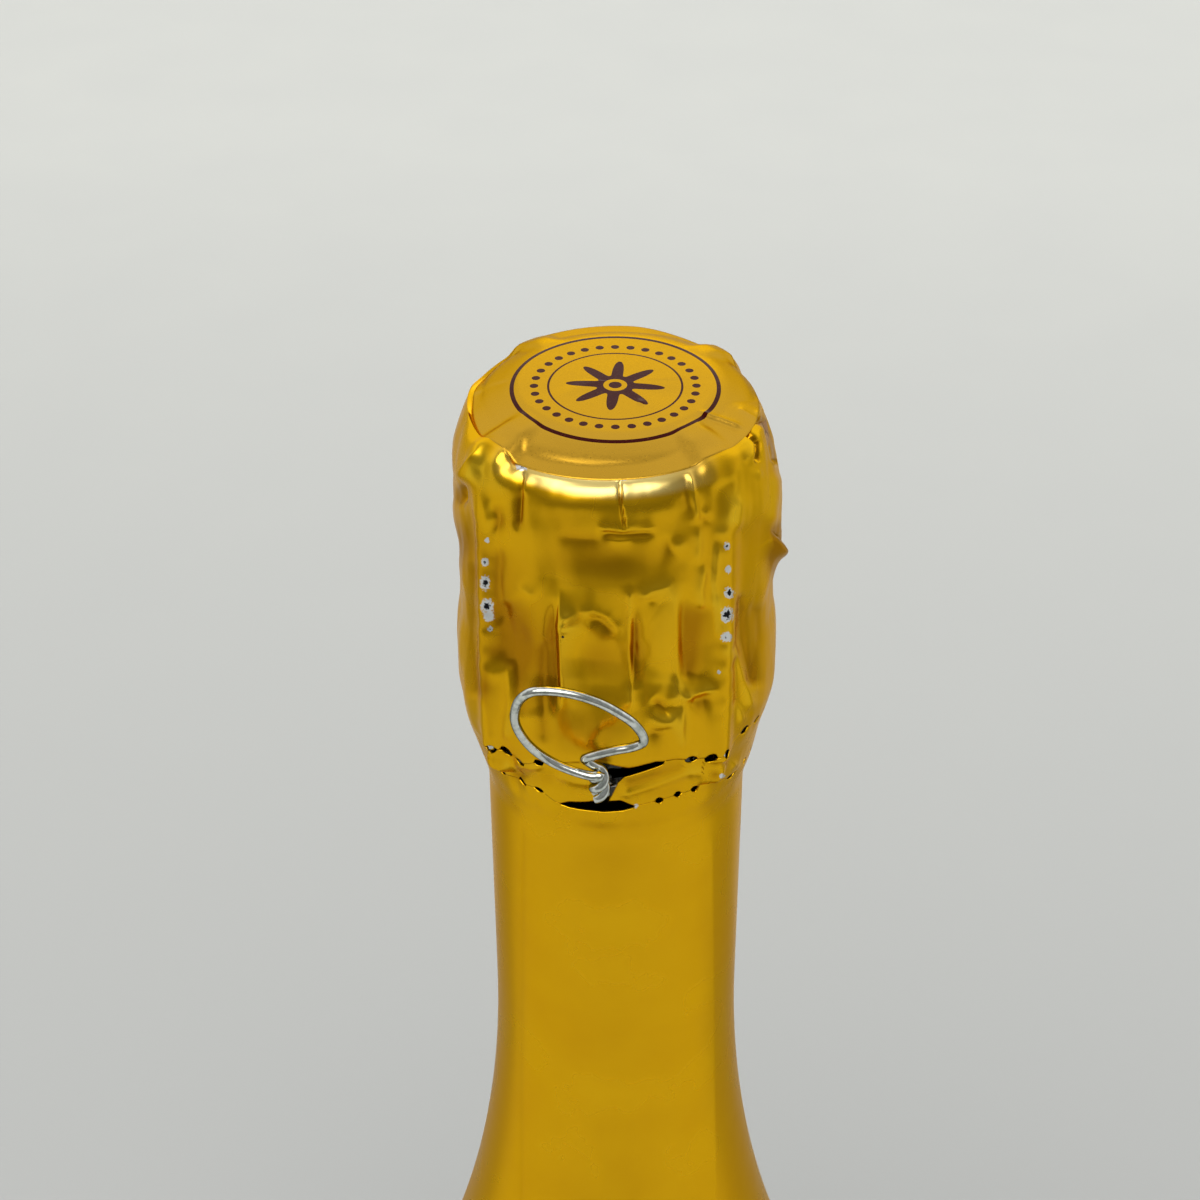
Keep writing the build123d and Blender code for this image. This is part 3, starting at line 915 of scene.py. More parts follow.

# Marks traced on the photograph: places in its pixels, heights and widths in millimetres.

SKIRT_FOLDS = (
    Fold(((559, 588), (558, 622), (560, 712)), 0.56, 1.8, LAP, 0.16, 3.5),
    Fold(((553, 596), (552, 640), (555, 720)), 0.66, 0.5, GROOVE, 0.15, 4.0),
    Fold(((630, 584), (629, 640), (631, 712)), 0.26, 0.35, RIDGE, 0.1),
    Fold(((636, 596), (635, 640), (636, 690)), 0.55, 0.4, GROOVE, 0.15, 4.0),
    Fold(((636, 600), (652, 590), (668, 586), (675, 598), (677, 640), (676, 708)), 0.33, 0.8, RIDGE, 0.2),
    Fold(((687, 581), (683, 640), (690, 690)), 0.36, 0.6, GROOVE, 0.3, 4.0),
    Fold(((714, 539), (711, 580), (716, 640)), 0.5, 0.9, LAP, 0.2),
    Fold(((716, 590), (730, 640), (752, 712)), 0.33, 0.5, RIDGE, 0.12),
    Fold(((741, 590), (743, 640), (753, 690)), 0.36, 0.6, GROOVE, 0.2),
    Fold(((702, 600), (694, 640), (686, 684)), 0.33, 1.3, GROOVE, 0.5),
    Fold(((509, 660), (510, 700), (507, 742)), 0.3, 0.5, RIDGE, 0.15),
    Fold(((500, 600), (514, 660), (520, 720)), 0.36, 1.1, GROOVE, 0.4),
    Fold(((543, 640), (541, 690), (544, 745)), 0.23, 0.5, GROOVE, 0.2),
    Fold(((474, 560), (472, 640), (477, 700)), 0.23, 0.6, GROOVE, 0.2),
    Fold(((557, 623), (566, 616), (577, 612)), 0.26, 0.5, RIDGE, 0.12),
    Fold(((577, 612), (592, 611), (608, 618), (624, 634)), 0.17, 0.4, RIDGE, 0.1),
    Fold(((582, 619), (600, 623), (616, 637)), 0.33, 0.6, GROOVE, 0.2),
    Fold(((682, 704), (686, 697), (702, 692), (718, 686)), 0.53, 0.6, RIDGE, 0.14),
    Fold(((686, 704), (700, 700), (716, 697)), 0.5, 0.8, GROOVE, 0.25),
    Fold(((682, 700), (681, 730), (684, 752)), 0.26, 0.5, RIDGE, 0.15),
    Fold(((735, 700), (741, 720), (744, 726)), 0.33, 0.5, RIDGE, 0.15),
    Fold(((650, 698), (660, 706), (672, 718)), 0.5, 0.6, GROOVE, 0.15),
    Fold(((644, 735), (660, 731), (676, 724)), 0.33, 0.7, GROOVE, 0.2),
    Fold(((632, 640), (634, 690)), 0.2, 0.5, GROOVE, 0.2),
    Fold(((540, 600), (525, 590), (513, 584)), 0.26, 0.8, RIDGE, 0.2),
    Fold(((640, 600), (652, 601), (660, 598)), 0.2, 0.4, GROOVE, 0.12),
    Fold(((498, 546), (496, 590), (500, 628)), 0.26, 0.6, GROOVE, 0.2),
    Fold(((704, 560), (700, 590), (702, 616)), 0.3, 0.5, RIDGE, 0.15),
    Fold(((486, 660), (485, 700), (491, 744)), 0.23, 0.5, GROOVE, 0.2),
    Fold(((757, 600), (758, 640), (752, 690)), 0.23, 0.6, GROOVE, 0.2),
)

HEAD_FOLDS = (
    Fold(((487, 437), (475, 456), (463, 482)), 0.42, 0.5, RIDGE, 0.12),
    Fold(((482, 446), (468, 470), (462, 484)), 0.53, 1.6, LAP, 0.12),
    Fold(((464, 480), (462, 492), (461, 508)), 0.97, 0.4, GROOVE, 0.12),
    Fold(((524, 468), (519, 500), (518, 532)), 0.46, 0.35, GROOVE, 0.1),
    Fold(((526, 470), (522, 500)), 0.28, 0.4, RIDGE, 0.1),
    Fold(((487, 498), (490, 520), (486, 536)), 0.28, 0.35, RIDGE, 0.1),
    Fold(((493, 500), (498, 520), (494, 536)), 0.35, 0.5, GROOVE, 0.15),
    Fold(((620, 480), (621, 505), (625, 530)), 0.28, 0.14, GROOVE, 0.06, 0.3),
    Fold(((621, 480), (623, 505), (627, 530)), 0.18, 1.0, LAP, 0.08, 0.3),
    Fold(((598, 531), (606, 535), (622, 536), (640, 534), (658, 533)), 0.46, 0.3, GROOVE, 0.08),
    Fold(((594, 527), (610, 530), (628, 531), (645, 530), (660, 529)), 0.28, 0.4, RIDGE, 0.1),
    Fold(((604, 540), (620, 541), (636, 539)), 0.21, 0.35, RIDGE, 0.1),
    Fold(((555, 537), (580, 540), (604, 541)), 0.18, 0.7, GROOVE, 0.15),
    Fold(((689, 470), (693, 495), (698, 522)), 0.39, 0.3, RIDGE, 0.08),
    Fold(((685, 472), (688, 500), (694, 520)), 0.28, 0.6, GROOVE, 0.15),
    Fold(((700, 508), (706, 514), (712, 520)), 0.28, 0.3, RIDGE, 0.08),
    Fold(((698, 514), (704, 519), (712, 524)), 0.28, 0.3, GROOVE, 0.08),
    Fold(((697, 524), (699, 545), (696, 566)), 0.25, 0.5, RIDGE, 0.12),
    Fold(((664, 536), (670, 550), (680, 556)), 0.28, 0.5, GROOVE, 0.15),
    Fold(((746, 431), (757, 443), (757, 462)), 0.88, 0.22, GROOVE, 0.06, 0.3),
    Fold(((742, 430), (752, 444), (753, 466)), 0.35, 0.8, RIDGE, 0.15),
    Fold(((757, 417), (768, 425), (776, 463)), 0.97, 0.22, GROOVE, 0.06, 0.3),
    Fold(((759, 466), (757, 480)), 0.35, 0.3, RIDGE, 0.1),
    Fold(((774, 470), (773, 500), (770, 528)), 0.35, 0.9, RIDGE, 0.2),
    Fold(((764, 532), (771, 536), (776, 548), (777, 560)), 0.53, 0.5, RIDGE, 0.12),
    Fold(((768, 528), (776, 536), (784, 556)), 0.79, 0.35, GROOVE, 0.1),
    Fold(((736, 492), (736, 510), (730, 530)), 0.35, 0.7, RIDGE, 0.2),
    Fold(((710, 534), (722, 530), (734, 534)), 0.35, 0.5, RIDGE, 0.12),
    Fold(((504, 452), (514, 462), (520, 470)), 0.32, 0.5, GROOVE, 0.12),
    Fold(((494, 446), (498, 460), (506, 470)), 0.39, 0.7, RIDGE, 0.2),
)

BAND_FOLDS = (
    Fold(((523, 812), (522, 1000), (521, 1240)), 0.07, 0.35, GROOVE, 0.12, 3.0),
    Fold(((712, 830), (714, 1000), (716, 1240)), 0.06, 0.5, RIDGE, 0.15, 3.0),
    Fold(((618, 796), (650, 786), (690, 772), (708, 768)), 0.34, 0.6, RIDGE, 0.15),
    Fold(((620, 790), (645, 780), (690, 766)), 0.31, 0.7, GROOVE, 0.2),
    Fold(((504, 756), (507, 765), (503, 776)), 0.37, 0.3, RIDGE, 0.1),
    Fold(((510, 766), (516, 774), (530, 778)), 0.34, 0.5, GROOVE, 0.15),
    Fold(((512, 764), (530, 766), (548, 764)), 0.31, 0.4, RIDGE, 0.15),
    Fold(((552, 772), (576, 780), (596, 784)), 0.31, 0.6, RIDGE, 0.2),
    Fold(((706, 770), (716, 776), (724, 772)), 0.31, 0.5, GROOVE, 0.15),
    Fold(((690, 752), (702, 756)), 0.34, 0.5, RIDGE, 0.15),
    Fold(((727, 756), (733, 764), (730, 774)), 0.31, 0.4, RIDGE, 0.12),
)

DENTS = (
    Dent((563, 627), (1.0, 0.6), 0.3),
    Dent((664, 720), (1.6, 1.2), 0.55, 20.0),
    Dent((610, 560), (5.0, 1.7), -0.2),
    Dent((525, 640), (1.7, 3.6), -0.22),
    Dent((590, 655), (2.8, 2.4), -0.2),
    Dent((662, 640), (1.7, 4.0), 0.16),
    Dent((677, 546), (0.7, 0.9), 0.26, 60.0),
    Dent((735, 500), (0.9, 1.6), 0.22),
    Dent((733, 520), (0.8, 0.7), 0.2),
    Dent((728, 652), (0.8, 0.6), 0.26),
    Dent((722, 672), (0.7, 0.6), 0.2),
    Dent((494, 652), (1.0, 1.0), -0.24),
    Dent((495, 672), (1.1, 0.9), 0.2),
    Dent((484, 690), (0.8, 1.2), -0.16),
    Dent((500, 480), (1.4, 1.4), 0.24),
    Dent((480, 476), (0.9, 1.6), 0.2),
    Dent((780, 546), (0.9, 1.6), 1.05),
    Dent((473, 722), (1.5, 2.6), 0.42),
    Dent((784, 556), (0.5, 0.5), 0.5),
    Dent((455, 545), (2.4, 2.4), -0.5),
    Dent((656, 510), (3.0, 0.9), 0.1),
    Dent((570, 505), (3.2, 0.9), 0.1),
)

# Painted shade: marks that darken the gold as the painted shade of a crease does, and leave its shape as it
# is.
PAINTED_SHADE_MARKS = (
    Dent((781, 549), (1.1, 2.3), -2.0),
    Dent((600, 565), (6.5, 2.4), -0.05),
    Dent((520, 590), (2.0, 3.0), -0.08),
    Dent((520, 648), (1.5, 3.4), -0.16),
    Dent((600, 660), (3.0, 1.8), -0.12),
    Dent((592, 732), (3.6, 2.2), -0.2),
    Dent((500, 600), (1.6, 5.0), -0.1),
    Dent((546, 660), (1.0, 7.0), -0.06),
    Dent((640, 650), (0.7, 6.0), -0.04),
    Dent((690, 640), (1.2, 5.5), -0.05),
    Dent((655, 790), (3.5, 1.0), -0.12),
    Dent((560, 778), (4.5, 1.0), -0.12),
)

DISC_MARKS = (
    Fold(((510, 377), (490, 382), (470, 395), (458, 412)), 0.3, 0.22, RIDGE, 0.06, 1.0),
    Fold(((510, 380), (490, 385), (471, 398)), 0.16, 0.3, GROOVE, 0.1, 1.0),
    Fold(((697, 411), (720, 419), (745, 428)), 0.28, 0.22, RIDGE, 0.06, 1.0),
    Fold(((697, 414), (720, 422), (745, 431)), 0.16, 0.3, GROOVE, 0.1, 1.0),
    Fold(((638, 358), (690, 363), (726, 370)), 0.13, 0.2, RIDGE, 0.06, 2.0),
    Fold(((640, 361), (690, 366), (726, 373)), 0.05, 0.5, GROOVE, 0.1, 2.0),
    Fold(((738, 408), (748, 414), (758, 420)), 0.14, 0.2, RIDGE, 0.06, 0.5),
    Fold(((755, 412), (762, 414), (766, 416)), 0.12, 0.2, RIDGE, 0.06, 0.5),
    Dent((611, 362), (0.3, 0.3), 0.12),
    Dent((641, 402), (0.3, 0.25), 0.1),
    Dent((585, 385), (3.0, 0.5), 0.04, -20.0),
    Dent((670, 395), (2.4, 1.4), -0.05),
)

WALL_MARKS = SKIRT_FOLDS + HEAD_FOLDS + BAND_FOLDS + DENTS


@dataclass(frozen=True)
class Rub:
    """A place where the wire under the foil has rubbed through its lacquer, with or without a dark core of
    painted shade where the foil is worn into a hole.
    """

    place: tuple
    size: tuple
    core: float


RUBS = (
    Rub((487, 540), (5, 6), 0.0),
    Rub((485, 562), (8, 9), 0.35),
    Rub((485, 583), (10, 16), 0.5),
    Rub((487, 606), (13, 15), 0.4),
    Rub((489, 616), (11, 12), 0.0),
    Rub((490, 629), (6, 6), 0.0),
    Rub((727, 546), (7, 8), 0.2),
    Rub((728, 569), (6, 9), 0.0),
    Rub((729, 593), (10, 11), 0.5),
    Rub((727, 615), (13, 16), 0.5),
    Rub((726, 637), (12, 11), 0.15),
    Rub((522, 467), (13, 8), 0.15),
    Rub((622, 479), (11, 4), 0.0),
    Rub((686, 467), (6, 4), 0.0),
    Rub((563, 637), (3, 3), 1.0),
    Rub((722, 776), (6, 5), 0.0),
    Rub((719, 672), (4, 4), 0.0),
    Rub((636, 806), (5, 5), 0.0),
)


@dataclass(frozen=True)
class Perforation:
    """One hole of a tear line, placed on the photograph, with its width and height in pixels."""

    place: tuple
    size: tuple
    slant: float = 0.0


UPPER_HOLES = (
    Perforation((476.7, 741.4), (6, 8), 0.3),
    Perforation((489.8, 747.8), (7, 10), 0.4),
    Perforation((506.6, 751.0), (8, 10), -0.4),
    Perforation((521.0, 761.0), (9, 5), -0.2),
    Perforation((540.0, 761.0), (9, 6), 0.0),
    Perforation((690.9, 759.0), (11, 7), 0.0),
    Perforation((710.9, 757.4), (9, 9), 0.4),
    Perforation((728.0, 752.8), (6, 10), -0.5),
    Perforation((744.2, 729.4), (7, 8), 0.0),
)

LOWER_HOLES = (
    Perforation((522.0, 782.7), (9, 6), -0.3),
    Perforation((539.2, 789.6), (10, 6), 0.0),
    Perforation((659.2, 800.4), (9, 8), -0.3),
    Perforation((678.0, 794.8), (8, 8), -0.4),
    Perforation((694.8, 788.9), (8, 9), -0.4),
    Perforation((713.2, 782.7), (8, 5), -0.3),
    Perforation((731.0, 777.0), (8, 5), -0.3),
)

# Edges of the two torn slots and of the slit between the tear band's ends, in pixels.
UPPER_SLOT_ROOF = (
    (600.5, 762.6), (611, 764.3), (621.4, 768.4), (639.7, 765.5), (655.8, 760.4), (664.5, 760.6),
)
UPPER_SLOT_SILL = (
    (600.5, 766.0), (611, 786.0), (616.8, 784.0), (623.7, 778.1), (639.7, 773.5), (664.5, 763.5),
)
LOWER_SLOT_ROOF = ((559.5, 803.5), (568.6, 801.5), (598.4, 799.9), (621.4, 800.6), (635, 806.0))
LOWER_SLOT_SILL = ((559.5, 804.5), (568.6, 807.9), (587, 810.2), (605.3, 811.8), (623.7, 811.8), (635, 808.0))
SLIT_LEFT = ((600.5, 766.0), (598.5, 800.0))
SLIT_RIGHT = ((618.0, 783.0), (611.0, 796.5), (609.0, 800.5))


@dataclass
class FoilShape:
    """The shape of the crumpled foil, shared by the cap, the tear band, the neck sleeve and the disc."""

    camera: PhotoCamera
    first_leg: float = 45.0
    legs: int = 4
    neck_radius: float = 14.12
    neck_straight: float = -78.8
    neck_flare: float = 170.0
    flare_step: float = 4.5
    flare_steps: int = 12
    side_outline: tuple = (
        (-78.8, 14.12), (-52.0, 14.12), (-48.3, 14.1), (-46.0, 14.4), (-44.0, 14.9), (-42.0, 15.3),
        (-39.5, 15.75), (-36.5, 16.5), (-34.0, 16.9), (-31.0, 16.95), (-28.0, 16.8), (-25.0, 16.45),
        (-22.5, 16.4), (-19.5, 16.65), (-16.0, 16.75), (-13.0, 16.7), (-10.0, 16.5), (-7.5, 16.15),
        (-5.5, 15.65), (-3.8, 15.1), (-2.4, 14.6), (-1.2, 14.15), (0.0, 13.6),
    )
    rim_table: tuple = (
        (-180.0, -1.3), (-138.0, -1.42), (-123.0, -2.3), (-107.0, -2.5), (-90.0, -2.0), (-75.0, -2.0),
        (-58.0, -2.5), (-35.0, -3.1), (-12.0, -2.95), (6.0, -2.8), (25.0, -2.65), (35.0, -2.5),
        (49.0, -2.3), (70.0, -1.8), (80.0, -1.6), (95.0, -2.2), (113.0, -2.9), (126.0, -2.7),
        (140.0, -2.15), (155.0, -1.8), (180.0, -1.3),
    )
    front_curve: tuple = (
        (0.0, 16.7), (0.282, 16.69), (0.469, 16.63), (0.61, 16.54), (0.732, 16.42), (0.808, 16.3),
        (0.864, 16.12), (0.911, 15.87), (0.948, 15.57), (0.977, 15.27), (1.0, 14.95),
    )
    rim_radius: float = 14.2
    rim_over_leg: float = -1.42
    plaque_cover: tuple = (
        (0.0, 0.0), (9.5, -0.12), (10.8, -0.38), (12.0, -0.85), (13.0, -1.36), (14.3, -2.7),
        (16.0, -4.5),
    )
    wire_cover: tuple = (
        (0.0, 0.0), (10.6, -0.2), (11.6, -0.3), (12.5, -0.48), (13.6, -0.97), (14.2, -1.27),
        (15.0, -1.75), (16.0, -2.8),
    )
    rim_lift: float = 0.55
    side_rim: float = -1.3
    shoulder: float = -13.0
    leg_width: float = 1.4
    cover_width: float = 2.0
    leg_smoothing: float = 0.75
    arc_radius: float = 5.975
    arc_centre: tuple = (10.8, -6.32)
    arc_start: tuple = (-8.0, -4.5)
    eye_centre: tuple = (15.45, -38.95)
    eye_reach: float = 1.9
    eye_foot: tuple = (-42.2, -40.8)
    eye_head: tuple = (-38.6, -36.6)
    crest_table: tuple = ((-36.6, 17.82), (-31.5, 17.82), (-6.3, 17.34), (0.0, 17.2))
    knot_pitch: float = 2.3
    knot_height: float = 0.04
    knot_middle: float = -25.0
    knot_foot: tuple = (-33.0, -30.0)
    knot_head: tuple = (-9.0, -4.0)
    arc_scale: float = 16.5
    facing_reach: float = 0.65
    photo_edge: tuple = (91.0, 99.0)
    hidden_edge: tuple = (94.0, 104.0)
    head_foot: tuple = (-47.0, -42.5)
    head_rim: tuple = (-0.7, -0.1)
    skirt_reach: tuple = ((-40.0, -35.0), (-12.0, -7.0))
    swell_reach: tuple = ((-11.0, -7.0), (-1.5, -0.8))
    swells: tuple = ((-90.0, 38.0, 0.55), (90.0, 30.0, -0.05))
    back_pleats: int = 46
    back_tucks: int = 22
    back_creases: int = 12
    seed: int = 11

    def outline_points(self) -> tuple:
        """Adds the flare of the neck below the wall's outline.

        Returns:
            Pairs of height and radius, from the lowest.
        """
        flare = []
        for step in range(self.flare_steps, 0, -1):
            drop = step * self.flare_step
            radius = self.neck_radius + self.neck_flare - math.sqrt(self.neck_flare**2 - drop**2)
            flare.append((self.neck_straight - drop, radius))
        return tuple(flare) + self.side_outline

    def leg_share(self, angle: np.ndarray, width: float, sharpness: int) -> np.ndarray:
        """Is 1 over a leg of the cage and falls to 0 beside it.

        Args:
            angle: angles round the bottle.
            width: radians from the leg's middle to where its share is about a third.
            sharpness: even power of the fall, 2 for a soft one.

        Returns:
            One share for each angle.
        """
        offset = np.radians(turned(angle * self.legs, self.first_leg * self.legs) / self.legs)
        return np.exp(-((offset / width) ** sharpness))

    def over_leg(self, angle: np.ndarray) -> np.ndarray:
        """Is 1 over a leg of the cage and falls softly to 0 beside it."""
        return self.leg_share(angle, self.leg_width / self.arc_scale, 2)

    def leg_cover(self, angle: np.ndarray) -> np.ndarray:
        """Is 1 across the whole width of a leg where the disc lies on it."""
        return self.leg_share(angle, self.cover_width / self.rim_radius, 4)

    def front_share(self, angle: np.ndarray) -> np.ndarray:
        """Is 1 where the photograph faces the wall and falls to 0 at its sides."""
        return smooth_step(0.0, self.facing_reach, np.cos(np.radians(angle - self.camera.azimuth)))

    def rim_below(self, angle: np.ndarray) -> np.ndarray:
        """Height of the top disc's edge, low where the photograph faces it and raised over the legs."""
        rim = soft_curve(self.rim_table, turned(angle)) + self.rim_lift * self.front_share(angle)
        return rim + (np.maximum(rim, self.rim_over_leg) - rim) * self.leg_cover(angle)

    def side_radius(self, angle: np.ndarray, below: np.ndarray) -> np.ndarray:
        """The even radius of the wall, whose shoulder is squashed where the disc's edge is low.

        Args:
            angle: angles of the points.
            below: their heights.

        Returns:
            One radius for each point.
        """
        rim = self.rim_below(angle)
        share = (below - self.shoulder) / (rim - self.shoulder)
        squashed = self.shoulder + share * (self.side_rim - self.shoulder)
        side = soft_curve(self.outline_points(), np.where(below > self.shoulder, squashed, below))
        full = soft_curve(self.front_curve, np.clip(share, 0, 1))
        front = self.front_share(angle) * (below > self.shoulder)
        return side + (full - side) * front

    def leg_lift(self, radius: np.ndarray, below: np.ndarray) -> np.ndarray:
        """How far the foil stands off its even wall to pass over a leg and its eye.

        Args:
            radius: even radii of the points.
            below: their heights.

        Returns:
            Heights in millimetres, outwards.
        """
        over_arc = self.arc_radius - np.hypot(radius - self.arc_centre[0], below - self.arc_centre[1])
        wall = soft_curve(self.crest_table, below) - radius
        mix = smooth_step(*self.arc_start, below)
        lift = over_arc * mix + wall * (1 - mix)
        drop = np.clip(np.abs(below - self.eye_centre[1]), 0, self.eye_reach)
        eye = self.eye_centre[0] + np.sqrt(self.eye_reach**2 - drop**2) - radius
        eye = eye * smooth_step(*self.eye_foot, below)
        low = smooth_step(*self.eye_head, below)
        return np.maximum(lift * low + eye * (1 - low), 0.0)

    def draped_radius(self, angle: float, below: float) -> float:
        """Radius of the wall at one place, with the rise over a leg.

        Args:
            angle: the place's angle.
            below: its height.

        Returns:
            The radius there.
        """
        at, down = np.array([angle], float), np.array([below], float)
        radius = self.side_radius(at, down)
        return float((radius + self.leg_lift(radius, down) * self.over_leg(at))[0])

    def photo_relief(
        self, marks: tuple, angle: np.ndarray, radius: np.ndarray, below: np.ndarray
    ) -> np.ndarray:
        """How far creases that were traced on the photograph move each point of the foil.

        Args:
            marks: the folds and dents.
            angle: angles of the points.
            radius: even radii of the points.
            below: heights of the points.

        Returns:
            Heights in millimetres, none on the hidden side.
        """
        column, row, scale = self.camera.pixel(angle, radius, below)
        total = np.zeros_like(column)
        for mark in marks:
            total = total + mark.relief(column, row, 1 / scale)
        return total * (1 - smooth_step(*self.photo_edge, np.abs(turned(angle, self.camera.azimuth))))

    def back_folds(self) -> tuple:
        """Draws creases at random, of the traced ones' sizes, for the side that the photograph hides.

        Returns:
            Pleats of the skirt, tucks under the rim and creases round the wall.
        """
        draw = np.random.default_rng(self.seed)

        def spread(index: int, start: float, reach: float, count: int) -> float:
            """The angle of one of a count of creases."""
            return start + (index + draw.uniform(-0.3, 0.3)) * reach / count

        # Each loop starts just past one side of the photograph's view and goes round to the other.
        folds = []
        for index in range(self.back_pleats):
            angle = spread(index, 106.0, 159.0, self.back_pleats)
            high, low = draw.uniform(9.0, 24.0), draw.uniform(25.0, 38.0)
            lean = draw.uniform(-3.0, 3.0)
            heights = (high, (high + low) / 2, low)
            trace = tuple((self.arc(angle + lean * part / 2), heights[part]) for part in range(3))
            sizes = draw.uniform(0.12, 0.3), draw.uniform(0.4, 1.3)
            folds.append(Fold(trace, *sizes, (RIDGE, GROOVE, LAP)[index % 3], draw.uniform(0.1, 0.3)))
        for index in range(self.back_tucks):
            angle = spread(index, 104.0, 163.0, self.back_tucks)
            start = draw.uniform(1.0, 3.0)
            end = (self.arc(angle + draw.uniform(-3, 3)), start + draw.uniform(3, 8))
            trace = ((self.arc(angle), start), end)
            folds.append(Fold(trace, draw.uniform(0.1, 0.28), 0.4, (RIDGE, GROOVE)[index % 2], 0.1))
        for index in range(self.back_creases):
            angle = spread(index, 108.0, 155.0, self.back_creases)
            down = draw.uniform(7.0, 30.0)
            trace = ((self.arc(angle - 5), down + draw.uniform(-1, 1)), (self.arc(angle + 5), down))
            folds.append(Fold(trace, draw.uniform(0.15, 0.3), 0.6, (RIDGE, GROOVE)[index % 2], 0.15))
        return tuple(folds)

    def arc(self, angle: np.ndarray) -> np.ndarray:
        """Millimetres round the wall to an angle."""
        return np.radians(angle % FULL_TURN) * self.arc_scale

    def head_share(self, angle: np.ndarray, below: np.ndarray) -> np.ndarray:
        """Is 1 on the crumpled head and falls to 0 down the neck and at the rim."""
        rim_share = smooth_step(*self.head_rim, below - self.rim_below(angle))
        return smooth_step(*self.head_foot, below) * (1 - rim_share)

    def creases(self, marks: tuple, angle: np.ndarray, radius: np.ndarray, below: np.ndarray) -> np.ndarray:
        """How far single creases move each point, with the hidden side's own creases.

        Args:
            marks: the folds and dents that the photograph shows.
            angle: angles of the points.
            radius: even radii of the points.
            below: heights of the points.

        Returns:
            Heights in millimetres.
        """
        around = self.arc(angle)
        back = np.zeros_like(around)
        for fold in self.back_folds():
            back = back + fold.relief(around, -below, np.ones_like(around))
        hidden = smooth_step(*self.hidden_edge, np.abs(turned(angle, self.camera.azimuth)))
        return self.photo_relief(marks, angle, radius, below) + back * hidden * self.head_share(angle, below)

    def relief(self, angle: np.ndarray, radius: np.ndarray, below: np.ndarray) -> np.ndarray:
        """How far the crumpled foil stands off its even outline.

        Args:
            angle: angles of the points.
            radius: even radii of the points.
            below: heights of the points.

        Returns:
            Heights in millimetres, outwards.
        """
        head, leg = self.head_share(angle, below), self.over_leg(angle)
        # Each layer: its share, height, cells round the wall, height of a cell and seed.
        layers = (
            (head, 0.15, 18, 9.0, self.seed),
            (between(*self.skirt_reach, below), 0.1, 52, 14.0, self.seed + 1),
            (head, 0.1, 46, 4.2, self.seed + 4),
            (head, 0.028, 120, 2.6, self.seed + 2),
            (1 - head, 0.04, 14, 60.0, self.seed + 3),
        )
        crumple = np.zeros_like(below)
        for share, height, *noise in layers:
            crumple = crumple + height * share * wrapped_noise(angle, below, *noise)
        crumple = crumple + self.creases(WALL_MARKS, angle, radius, below)
        sideways = turned(angle, self.camera.azimuth)
        for middle, width, height in self.swells:
            bell = np.exp(-(((sideways - middle) / width) ** 2))
            crumple = crumple + height * between(*self.swell_reach, below) * bell
        knots = np.cos(math.tau * (below - self.knot_middle) / self.knot_pitch) * leg**2
        knots = knots * between(self.knot_foot, self.knot_head, below)
        even = crumple * (1 - self.leg_smoothing * leg) + self.leg_lift(radius, below) * leg
        return even + self.knot_height * knots

    def crumpled(self, angle: np.ndarray, below: np.ndarray) -> np.ndarray:
        """Points of the crumpled wall, moved out along its slope.

        Args:
            angle: angles of the rows of points.
            below: their heights.

        Returns:
            Points with angle, radius and height in the last axis.
        """
        radius = self.side_radius(angle, below)
        lift = self.relief(angle, radius, below)
        rise, out = np.gradient(below, axis=0), np.gradient(radius, axis=0)
        length = np.maximum(np.hypot(rise, out), 1e-6)
        return np.stack([angle, radius + lift * rise / length, below - lift * out / length], -1)


def round_points(points: np.ndarray, top: float) -> np.ndarray:
    """Turns angle, radius and height below the top into points of the bottle's frame."""
    turn, radius = np.radians(points[..., 0]), points[..., 1]
    return np.stack([radius * np.sin(turn), -radius * np.cos(turn), points[..., 2] + top], -1)


